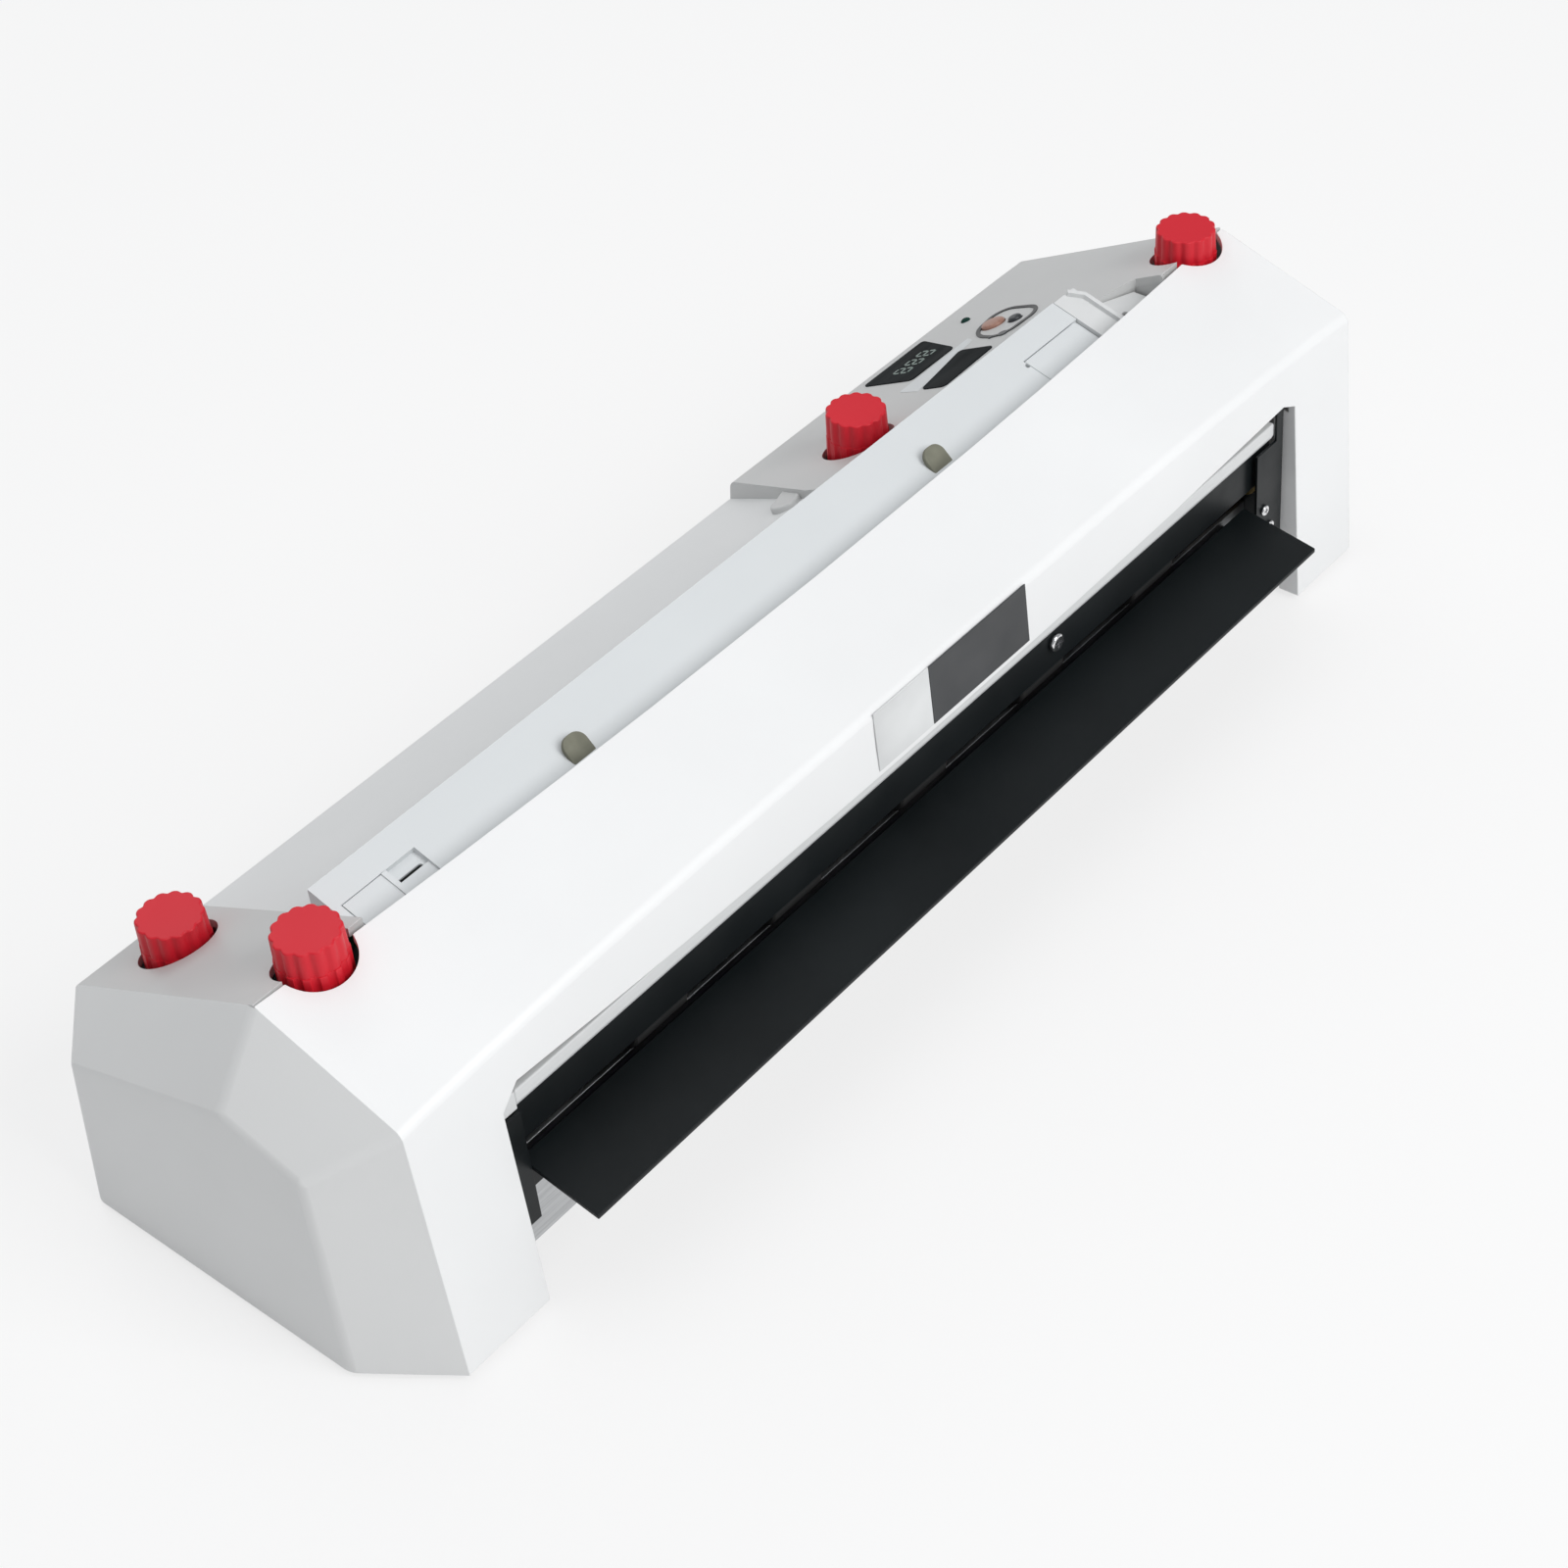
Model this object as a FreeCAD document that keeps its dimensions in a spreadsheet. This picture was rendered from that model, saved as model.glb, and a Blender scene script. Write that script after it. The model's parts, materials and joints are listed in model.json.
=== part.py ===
import FreeCAD, Part
import math
import os

import Sketcher

# Electric business card cutter: sheets go in over the tray behind the white cover, five pairs of
# round knives slit them lengthwise, a cross knife chops the strips, and the cards slide out on the
# black apron at the front.  Millimetres, +Z up, front towards -Y, left end towards -X.  The origin
# is the bottom centre of the box that holds the machine, level with the soles of its feet.

SIZES = {
    # housing, drawn as one section across the machine
    "body_length": 397.0, "cap_depth": 17.0, "foot_height": 2.0, "shell_wall": 2.5,
    "front_reach": 60.0, "knee_setback": 4.0, "knee_height": 86.5, "knee_crown": 5.0,
    "ridge_offset": 10.5, "ridge_height": 102.0,
    "back_edge_reach": 67.0, "back_edge_height": 63.5, "rear_reach": 76.0,
    "seam_gap": 0.3,
    # front cover: rear edge, exit arch and legs
    "edge_setback": 0.4, "edge_bow": 5.0, "mouth_length": 338.8, "mouth_height": 74.5,
    "mouth_sag": 4.5, "mouth_corner": 6.0, "leg_return": 7.0,
    # end caps
    "cap_low_front": 35.5, "cap_knee_height": 72.0, "cap_ridge_height": 79.5,
    "cap_back_reach": 50.4, "cap_back_height": 59.0, "cap_foot_reach": 59.4,
    "cap_front_lean": 0.7,
    # paper recess and console
    "recess_left": 163.0, "recess_back_height": 57.3, "console_left": 45.5, "console_turn": 27.0,
    "console_slant": 14.0, "tray_well_back": 9.0, "pocket_right": 167.5,
    "pocket_corner_front": -1.5, "pocket_corner_back": 6.0,
    # base
    "pan_sheet": 1.5, "pan_front": 44.0, "pan_rear_gap": 0.3, "pan_flange": 10.0,
    "pan_guard_height": 36.0, "foot_radius": 7.0, "foot_inset": 14.0,
    # side frames and rods
    "frame_inner": 163.0, "frame_sheet": 3.0, "frame_end_gap": 10.0, "frame_knee_drop": 6.5,
    "frame_crown_reach": 19.5, "frame_crown_drop": 9.5, "frame_ridge_drop": 12.0,
    "frame_back_drop": 10.5, "frame_back_gap": 5.0,
    "rod_radius": 4.0, "front_rod_reach": 34.0, "front_rod_height": 12.0,
    "rear_rod_reach": 28.0, "rear_rod_height": 18.0,
    # infeed tray
    "tray_front_y": 13.0, "tray_front_height": 93.6, "tray_back_y": 9.2, "tray_back_height": 100.1,
    "tray_sheet": 2.6, "tray_lip": 6.0, "tray_right": 140.5,
    "pocket_depth": 1.3, "pad_left_x": 84.0, "pad_right_x": 64.5, "pad_station": 7.1,
    "pad_width": 8.0, "pad_length": 13.0, "pad_proud": 0.8, "pad_clearance": 0.5,
    "guide_left_x": 160.0, "guide_length": 14.6, "guide_travel": 9.8, "guide_front": 1.8,
    "guide_back": 13.9, "guide_lip": 0.5, "guide_clearance": 0.3, "pin_radius_slot": 0.75,
    "guide_depth": 0.9, "guide_well_depth": 1.9, "guide_slot_station": 10.0,
    "guide_pin_inset": 1.6, "dot_x": 114.0, "dot_station": 12.3, "dot_radius": 0.8,
    "plate_left_x": 114.7, "plate_right_x": 138.6, "fence_right": 150.5, "fence_lip": 1.6,
    "fence_gap": 0.5, "fence_front": 2.0, "fence_back": 23.0, "fence_lip_sheet": 1.5,
    "fence_corner": 4.5, "sill_front_gap": 4.5,
    "sill_height": 92.4, "sill_sheet": 1.2, "sill_corner_front": -1.5, "sill_corner_back": 6.2,
    "sill_hole_x": 155.5, "sill_hole_reach": 6.2, "sill_hole_radius": 1.0,
    # paper path and its rollers
    "path_angle": 52.0, "path_start_y": 13.5, "path_start_height": 92.5, "paper_half_gap": 0.15,
    "feed_station": 9.0, "slit_station": 27.0, "cut_station": 45.0, "exit_station": 56.0,
    "feed_radius": 7.0, "pinch_radius": 5.0, "exit_radius": 6.0,
    "sleeve_length": 34.0, "sleeve_pitch": 60.0, "exit_sleeve_length": 20.0,
    "sleeve_chamfer": 0.6,
    "shaft_radius": 4.0, "small_shaft_radius": 3.0, "bush_wall": 1.6, "bore_clearance": 0.05,
    # slitting knives
    "disc_radius": 9.5, "disc_width": 1.5, "disc_side_gap": 0.05, "card_width": 54.0,
    # cross knife and its drive
    "blade_sheet": 3.0, "blade_clearance": 0.05, "knife_rest_gap": 4.0, "knife_shear": 2.5,
    "knife_length": 308.0, "carrier_sheet": 4.0, "carrier_length": 320.0,
    "crank_throw": 4.0, "crank_depth": 32.0, "eccentric_radius": 9.0, "yoke_play": 1.0,
    "yoke_place": 108.0, "yoke_sheet": 6.0, "yoke_wall": 4.0,
    "carrier_front": 10.0, "carrier_width": 14.0, "carrier_flange": 14.0,
    "bed_edge_gap": 0.4, "bed_relief": 1.0, "bed_depth": 9.1, "bed_overhang": 2.0,
    "beam_edge_gap": 1.6, "beam_depth": 3.4, "beam_height": 6.0,
    "guide_block_front": 2.0, "guide_block_back": 25.0, "guide_block_below": 9.0,
    "guide_block_above": 4.0, "guide_grip": 3.5, "guide_side_gap": 0.6, "guide_face_gap": 0.1,
    # gears
    "gear_module": 0.8, "gear_width": 5.0, "gear_gap": 2.0,
    # knobs
    "knob_radius": 9.3, "knob_taper": 0.45, "knob_sink": 7.0,
    "knob_hole_radius": 10.8, "spindle_radius": 3.0, "spindle_length": 16.0, "knob_flute": 1.5,
    "flute_depth": 0.7, "knob_edge": 0.5,
    "left_rear_x": 179.1, "left_rear_y": 46.2, "left_rear_rise": 10.2,
    "left_front_x": 178.4, "left_front_y": 9.4, "left_front_rise": 8.3,
    "right_front_x": 185.8, "right_front_y": 6.8, "right_front_rise": 7.2,
    "console_x": 74.4, "console_y": 31.0, "console_rise": 11.4,
    "bracket_sheet": 3.0, "bracket_width": 14.0, "bracket_gap": 1.0, "bracket_reach": 8.0,
    "cross_bar_height": 58.0, "cross_bar_width": 10.0, "cross_bar_sheet": 6.0,
    # motors
    "motor_radius": 12.5, "motor_length": 48.0, "nose_radius": 4.0, "nose_bore_depth": 6.0,
    "motor_shaft_radius": 2.0, "shaft_end_gap": 0.4, "gearbox_length": 20.0, "motor_step": 1.0,
    "nose_hole_gap": 0.3, "motor_line": -37.0,
    # exit
    "apron_reach": 76.0, "apron_front_height": 38.5, "apron_rear_height": 43.0,
    "apron_rear_y": 51.0, "apron_sheet": 1.5, "apron_right": 152.0,
    "bar_y": 54.0, "bar_sheet": 3.0, "bar_low": 62.5, "bar_high": 68.5, "guard_low": 49.5,
    "guard_sheet": 1.5, "screw_x": 55.0, "screw_radius": 2.8, "screw_rise": 1.7,
    "screw_drop": 4.5, "bar_bevel": 1.8, "bar_seam": 0.1, "apron_fold": 8.0, "apron_rest": 4.0,
    # console: windows, keys and boards, measured down the console's slope
    "window_clearance": 0.2,
    "display_left": 114.5, "display_near_right": 134.0, "display_far_right": 142.0,
    "display_near": 60.0, "display_far": 80.0,
    "second_left": 106.7, "second_right": 130.7, "second_near_left": 38.7,
    "second_near_right": 40.0, "second_far_left": 47.0, "second_far_right": 53.0,
    "board_depth": 10.4, "board_sheet": 1.6, "key_proud": 1.2, "key_travel": 1.0,
    "key_clearance": 0.3, "key_stem_radius": 1.2, "key_skirt": 3.5, "switch_drop": 6.2,
    "switch_half": 2.6, "contact_gap": 0.2,
    "start_key_x": 148.6, "start_key_station": 54.2, "start_key_radius": 3.8,
    "stop_key_x": 150.4, "stop_key_station": 46.3, "stop_key_radius": 2.2,
    "led_x": 155.0, "led_station": 72.0, "led_radius": 1.6,
    "board_left": 94.0, "board_right": 160.0, "board_near": 36.0, "board_far": 82.0,
    "module_margin": 2.0, "module_gap": 0.3,
    # rear wall fittings
    "inlet_x": 140.0, "inlet_height": 32.0, "inlet_length": 27.0, "inlet_tall": 20.0,
    "inlet_depth": 20.0, "flange_rim": 2.0, "switch_x": 105.0, "switch_length": 19.0,
    "switch_tall": 13.0, "switch_depth": 15.0, "rocker_pivot_depth": 1.5, "rocker_tilt": 6.0,
    "trunnion_radius": 1.2, "trunnion_reach": 0.9, "fitting_gap": 0.2, "inlet_shell": 2.0,
    "socket_corner": 4.0, "pin_length": 12.0, "bezel_wall": 1.5, "bezel_well": 7.0,
    "rocker_end_gap": 0.7, "rocker_side_gap": 0.3,
    "slot_pitch": 9.0, "slot_width": 3.0, "slot_height": 24.0, "first_slot_x": 130.0,
    # power supply on the pan
    "supply_left": 150.0, "supply_setback": 40.0, "supply_length": 96.0, "supply_width": 30.0,
    "post_radius": 2.5, "post_height": 6.0, "post_inset": 4.0, "transformer_length": 34.0,
    "transformer_width": 24.0, "transformer_height": 22.0, "can_radius": 5.0,
    "can_height": 16.0, "can_pitch": 14.0, "first_can": 54.0,
}

KNIFE_PAIRS = 6
FLUTES = 14
COOLING_SLOTS = 9
SUPPLY_CANS = 3
SLEEVES = 5

# How far an inner corner of a shell lies in from the outer one, as a share of the wall.
KNEE_SHARE = 0.72
RIDGE_SHARE = 1.06
BACK_SHARES = (0.96, 0.64)

# Tooth of a gear as shares of its module: below and above the pitch circle, and half widths.
TOOTH = {"root": 1.2, "tip": 0.9, "foot_half": 0.95, "pitch_half": 0.7, "tip_half": 0.35,
         "sunk": 0.4}
TEETH = {"feed": 17, "slitter": 23, "exit": 14, "feed_idler": 26, "exit_idler": 24,
         "pinion": 12, "crank": 60}

doc = FreeCAD.newDocument("BusinessCardCutter")
sheet = doc.addObject("Spreadsheet::Sheet", "Sizes")
for row, (alias, number) in enumerate(SIZES.items(), start=1):
    sheet.set(f"A{row}", alias)
    sheet.set(f"B{row}", str(number))
    sheet.setAlias(f"B{row}", alias)
derived = doc.addObject("Spreadsheet::Sheet", "Derived")
doc.recompute()


class Dim:
    """A number together with the sheet expression that gives it."""

    def __init__(self, value, text):
        self.value = value
        self.text = text

    def __add__(self, other):
        other = dim(other)
        return Dim(self.value + other.value, f"({self.text} + {other.text})")

    def __radd__(self, other):
        return dim(other) + self

    def __sub__(self, other):
        other = dim(other)
        return Dim(self.value - other.value, f"({self.text} - {other.text})")

    def __rsub__(self, other):
        return dim(other) - self

    def __mul__(self, other):
        other = dim(other)
        return Dim(self.value * other.value, f"({self.text} * {other.text})")

    def __rmul__(self, other):
        return dim(other) * self

    def __truediv__(self, other):
        other = dim(other)
        return Dim(self.value / other.value, f"({self.text} / {other.text})")

    def __neg__(self):
        return Dim(-self.value, f"(0 - {self.text})")


def dim(value):
    """Return value as a Dim; a plain number becomes a constant."""
    if isinstance(value, Dim):
        return value
    return Dim(float(value), f"({float(value):.10g})" if value < 0 else f"{float(value):.10g}")


def size(alias):
    return Dim(SIZES[alias], f"Sizes.{alias}")


def sine(angle):
    angle = dim(angle)
    return Dim(math.sin(math.radians(angle.value)), f"sin({angle.text})")


def cosine(angle):
    angle = dim(angle)
    return Dim(math.cos(math.radians(angle.value)), f"cos({angle.text})")


def root(square):
    return Dim(math.sqrt(square.value), f"sqrt({square.text})")


def bearing(rise, run):
    """Direction in degrees of a line that rises and runs by the two lengths."""
    rise, run = dim(rise), dim(run)
    return Dim(math.degrees(math.atan2(rise.value, run.value)),
               f"(atan2({rise.text}; {run.text}) / 1 deg)")


def derive(alias, value):
    """Keep a worked-out length in the Derived sheet and return a Dim that names it."""
    row = derive.rows = derive.rows + 1
    derived.set(f"A{row}", alias)
    derived.set(f"B{row}", "=" + value.text.replace("Derived.", ""))
    derived.setAlias(f"B{row}", alias)
    return Dim(value.value, f"Derived.{alias}")


derive.rows = 0

# ---------------------------------------------------------------- drawing helpers


def bind(item, prop, value):
    """Set a property and tie it to its expression."""
    value = dim(value)
    item.setExpression(prop, value.text)


def place(item, x=0, y=0, z=0, axis=(1, 0, 0), turn=0):
    """Bind an object's placement to lengths along X, Y and Z and a turn about an axis."""
    spot = [dim(value) for value in (x, y, z)]
    angle = dim(turn)
    item.Placement = FreeCAD.Placement(
        FreeCAD.Vector(*(value.value for value in spot)),
        FreeCAD.Rotation(FreeCAD.Vector(*axis), angle.value))
    for name, value in zip("xyz", spot):
        if not isinstance(value, Dim) or value.text != "0":
            item.setExpression(f"Placement.Base.{name}", value.text)
    if angle.text != "0":
        item.setExpression("Placement.Rotation.Angle", angle.text)
    return item


def new_body(name):
    body = doc.addObject("PartDesign::Body", name)
    body.Label = name
    return body


def new_sketch(body, name, plane, offset=0):
    """Sketch on one of the body's own planes, moved along the plane's normal by offset."""
    sketch = body.newObject("Sketcher::SketchObject", name)
    support = [item for item in body.Origin.OriginFeatures if item.Role == plane][0]
    sketch.AttachmentSupport = [(support, "")]
    sketch.MapMode = "FlatFace"
    offset = dim(offset)
    sketch.AttachmentOffset = FreeCAD.Placement(
        FreeCAD.Vector(0, 0, offset.value), FreeCAD.Rotation())
    if offset.text != "0":
        sketch.setExpression("AttachmentOffset.Base.z", offset.text)
    return sketch


def polygon(sketch, points, arcs=None):
    """Closed outline through points.

    arcs maps the number of a side that is an arc to the axis along which its centre is fixed, the
    centre's place on that axis and a point that the arc bulges to.
    """
    arcs = arcs or {}
    spots = [(dim(across), dim(up)) for across, up in points]
    vectors = [FreeCAD.Vector(across.value, up.value, 0) for across, up in spots]
    count = len(vectors)
    for side in range(count):
        start, end = vectors[side], vectors[(side + 1) % count]
        if side in arcs:
            across, up = arcs[side][2]
            middle = FreeCAD.Vector(dim(across).value, dim(up).value, 0)
            circle = Part.Arc(start, middle, end)
            sketch.addGeometry(circle, False)
        else:
            sketch.addGeometry(Part.LineSegment(start, end), False)

    def ends(side):
        """Number of the start and of the end point of a side."""
        if side not in arcs:
            return 1, 2
        start = sketch.Geometry[side].StartPoint
        return (1, 2) if start.distanceToPoint(vectors[side]) < 1e-6 else (2, 1)

    for side in range(count):
        follower = (side + 1) % count
        sketch.addConstraint(Sketcher.Constraint(
            "Coincident", side, ends(side)[1], follower, ends(follower)[0]))
    for side, (across, up) in enumerate(spots):
        for direction, value in (("DistanceX", across), ("DistanceY", up)):
            number = sketch.addConstraint(Sketcher.Constraint(
                direction, -1, 1, side, ends(side)[0], value.value))
            if "Sizes" in value.text or "Derived" in value.text:
                sketch.setExpression(f"Constraints[{number}]", value.text)
    for side, (axis, centre, _) in arcs.items():
        number = sketch.addConstraint(
            Sketcher.Constraint(f"Distance{axis}", -1, 1, side, 3, dim(centre).value))
        sketch.setExpression(f"Constraints[{number}]", dim(centre).text)


def circle(sketch, across, up, radius):
    across, up, radius = dim(across), dim(up), dim(radius)
    number = len(sketch.Geometry)
    centre = FreeCAD.Vector(across.value, up.value, 0)
    sketch.addGeometry(Part.Circle(centre, FreeCAD.Vector(0, 0, 1), radius.value), False)
    for kind, value in (("DistanceX", across), ("DistanceY", up)):
        rule = sketch.addConstraint(
            Sketcher.Constraint(kind, -1, 1, number, 3, value.value))
        if "Sizes" in value.text or "Derived" in value.text:
            sketch.setExpression(f"Constraints[{rule}]", value.text)
    rule = sketch.addConstraint(Sketcher.Constraint("Radius", number, radius.value))
    if "Sizes" in radius.text or "Derived" in radius.text:
        sketch.setExpression(f"Constraints[{rule}]", radius.text)


def pad(body, sketch, length):
    feature = body.newObject("PartDesign::Pad", f"{sketch.Name}_pad")
    feature.Profile = sketch
    bind(feature, "Length", length)
    body.Tip = feature
    return feature


def pocket(body, sketch, length, forward=False):
    """Cut the sketch out of the body, against the sketch's normal or along it."""
    feature = body.newObject("PartDesign::Pocket", f"{sketch.Name}_pocket")
    feature.Profile = sketch
    bind(feature, "Length", length)
    feature.Reversed = forward
    body.Tip = feature
    return feature


def prism(name, plane, points, start, length, arcs=None):
    """Body padded from one outline, from start along the plane's normal for length."""
    body = new_body(name)
    sketch = new_sketch(body, f"{name}_outline", plane, start)
    polygon(sketch, points, arcs)
    pad(body, sketch, length)
    return body


def rod(name, radius, start, length, y=0, z=0):
    """Round bar along X."""
    body = new_body(name)
    sketch = new_sketch(body, f"{name}_end", "YZ_Plane", start)
    circle(sketch, 0, 0, radius)
    pad(body, sketch, length)
    return place(body, 0, y, z)


def turned(name, points, plane="XY_Plane", axis="H_Axis"):
    """Body turned from a half section about the sketch's own axis."""
    body = new_body(name)
    sketch = new_sketch(body, f"{name}_section", plane)
    polygon(sketch, points)
    feature = body.newObject("PartDesign::Revolution", f"{name}_turn")
    feature.Profile = sketch
    feature.ReferenceAxis = (sketch, [axis])
    feature.Angle = 360
    body.Tip = feature
    return body


def cut(name, base, *tools):
    """Cut tools from base and give the result its name."""
    result = base
    for count, tool in enumerate(tools):
        step = doc.addObject("Part::Cut", f"{name}_cut{count}")
        step.Base = result
        step.Tool = tool
        result = step
    result.Label = name
    return result


def common(name, first, second):
    step = doc.addObject("Part::Common", name)
    step.Base = first
    step.Tool = second
    return step


def fuse(name, *pieces):
    step = doc.addObject("Part::MultiFuse", name)
    step.Shapes = list(pieces)
    step.Label = name
    return step


def group(name, *pieces):
    """Several separate solids of one kind as one node."""
    step = doc.addObject("Part::Compound", name)
    step.Links = list(pieces)
    step.Label = name
    return step


def block(name, x, y, z, length, width, height):
    """Box from its low corner and its sides."""
    box = doc.addObject("Part::Box", name)
    for prop, value in (("Length", length), ("Width", width), ("Height", height)):
        bind(box, prop, value)
    return place(box, x, y, z)


def drum(name, radius, height, x, y, z, axis=(0, 1, 0), turn=0):
    """Part cylinder, upright unless turned."""
    cylinder = doc.addObject("Part::Cylinder", name)
    bind(cylinder, "Radius", radius)
    bind(cylinder, "Height", height)
    return place(cylinder, x, y, z, axis, turn)


NODES = []


def node(item, name=None):
    """Hand an object in as one of the machine's pieces."""
    if name:
        item.Label = name
    NODES.append(item)
    return item


# ---------------------------------------------------------------- housing

KNOBS = {
    "left_rear": (-size("left_rear_x"), size("left_rear_y")),
    "left_front": (-size("left_front_x"), -size("left_front_y")),
    "right_front": (size("right_front_x"), -size("right_front_y")),
    "console": (size("console_x"), size("console_y")),
}

half = size("body_length") / 2
wall = size("shell_wall")
base_level = size("foot_height")
front_y = -size("front_reach")
knee_y = front_y + size("knee_setback")
ridge_y = -size("ridge_offset")
ridge_z = size("ridge_height")
back_y = size("back_edge_reach")
back_z = size("back_edge_height")
rear_y = size("rear_reach")
console_slope = derive("console_slope", (ridge_z - back_z) / (back_y - ridge_y))
console_tilt = derive("console_tilt", bearing(ridge_z - back_z, back_y - ridge_y))
console_drop = derive("console_drop", wall / cosine(console_tilt))
wall_slope = derive("wall_slope", (rear_y - back_y) / (back_z - base_level))
hood_slope = derive("hood_slope", (ridge_z - size("knee_height")) / (ridge_y - knee_y))
recess_slope = derive("recess_slope",
                      (ridge_z - size("recess_back_height")) / (back_y - ridge_y))


def front_cover():
    """White cover: knee crown lofted through five sections, bowed rear edge, exit arch."""
    body = new_body("front_cover")
    stations = (-1.0, -0.55, 0.0, 0.55, 1.0)
    crowns = (0.0, 0.9, 1.0, 0.9, 0.0)
    sections = []
    for number, (station, crown) in enumerate(zip(stations, crowns)):
        rise = size("knee_crown") * crown
        sketch = new_sketch(body, f"cover_section{number}", "YZ_Plane", half * station)
        polygon(sketch, [
            (front_y, base_level),
            (knee_y, size("knee_height") + rise),
            (ridge_y, ridge_z),
            (ridge_y, ridge_z - wall * RIDGE_SHARE),
            (knee_y + wall, size("knee_height") + rise - wall * KNEE_SHARE),
            (front_y + wall, base_level)])
        sections.append(sketch)
    loft = body.newObject("PartDesign::AdditiveLoft", "cover_shell")
    loft.Profile = sections[0]
    loft.Sections = sections[1:]
    body.Tip = loft

    edge_y = ridge_y - size("edge_setback")
    bow_radius = half * half / (size("edge_bow") * 2) + size("edge_bow") / 2
    edge = new_sketch(body, "rear_edge", "XY_Plane", ridge_z + wall)
    polygon(edge, [(-half, edge_y), (half, edge_y), (half, ridge_y + wall),
                   (-half, ridge_y + wall)],
            arcs={0: ("Y", edge_y - size("edge_bow") + bow_radius,
                      (0, edge_y - size("edge_bow")))})
    pocket(body, edge, wall * 12)

    mouth = size("mouth_length") / 2
    corner = mouth - size("mouth_corner")
    top = size("mouth_height")
    sag = size("mouth_sag")
    sag_radius = corner * corner / (sag * 2) + sag / 2
    arch = new_sketch(body, "exit_arch", "XZ_Plane", size("front_reach") / 2)
    polygon(arch, [(-mouth, 0), (-mouth, top - size("mouth_corner")), (-corner, top),
                   (corner, top), (mouth, top - size("mouth_corner") / 2), (mouth, 0)],
            arcs={2: ("Y", top - sag + sag_radius, (0, top - sag))})
    pocket(body, arch, size("front_reach"), forward=True)

    for side in (-1, 1):
        start = mouth if side > 0 else -mouth - wall
        flange = new_sketch(body, "leg_return_left" if side < 0 else "leg_return_right",
                            "YZ_Plane", start)
        polygon(flange, [
            (front_y + wall * 0.5, base_level),
            (front_y + size("leg_return"), base_level),
            (knee_y + size("leg_return"), top - size("mouth_corner")),
            (knee_y + wall * 0.3, top - size("mouth_corner"))])
        pad(body, flange, wall)
    return body


def cap_outline(side_y, inner):
    """Outer or inner section of an end cap at the seam or at its flat end panel."""
    inset = wall if inner else 0
    low = base_level - (1 if inner else 0)
    back_in, back_down = BACK_SHARES
    if side_y == "seam":
        return [(front_y + inset, low),
                (knee_y + inset, size("knee_height") - inset * KNEE_SHARE),
                (ridge_y, ridge_z - inset * RIDGE_SHARE),
                (back_y - inset * back_in, back_z - inset * back_down), (rear_y - inset, low)]
    return [(-size("cap_low_front") + inset, low),
            (-size("cap_low_front") - size("cap_front_lean") + inset,
             size("cap_knee_height") - inset * KNEE_SHARE),
            (ridge_y, size("cap_ridge_height") - inset * RIDGE_SHARE),
            (size("cap_back_reach") - inset * back_in,
             size("cap_back_height") - inset * back_down),
            (size("cap_foot_reach") - inset, low)]


def end_cap(name, side):
    """Grey end cap: a faceted hood from the seam out to its flat end panel."""
    body = new_body(name)
    depth = size("cap_depth")
    shells = (("AdditiveLoft", False, half, half + depth),
              ("SubtractiveLoft", True, half, half + depth - wall))
    for kind, inner, seam, end in shells:
        pair = []
        for label, x in (("seam", seam), ("panel", end)):
            sketch = new_sketch(body, f"{name}_{label}_{kind}", "YZ_Plane", x * side)
            polygon(sketch, cap_outline(label, inner))
            pair.append(sketch)
        loft = body.newObject(f"PartDesign::{kind}", f"{name}_{kind}")
        loft.Profile = pair[0]
        loft.Sections = pair[1:]
        loft.Ruled = True
        body.Tip = loft
    return body


def recess_plan(grow):
    """Outline, seen from above, of the recess behind the tray."""
    left = -size("recess_left") - grow
    right = size("console_left") + grow
    slant = size("console_slant")
    turn = size("console_turn")
    return [(left, ridge_y - 2 - grow), (right, ridge_y - 2 - grow), (right, turn),
            (right + slant, rear_y + 2), (left, rear_y + 2)]


def recess_tool(name, grow):
    """Space above the recess floor, grown by a wall on its sides and under its floor."""
    plan = prism(f"{name}_plan", "XY_Plane", recess_plan(grow), 0, ridge_z * 2)
    drop = grow * 1.15
    floor = prism(f"{name}_floor", "YZ_Plane", [
        (ridge_y - 4, ridge_z + recess_slope * 4 - drop),
        (rear_y + 4, ridge_z - recess_slope * (rear_y + 4 - ridge_y) - drop),
        (rear_y + 4, ridge_z * 2), (ridge_y - 4, ridge_z * 2)], -half, half * 2)
    return common(name, plan, floor)


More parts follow.
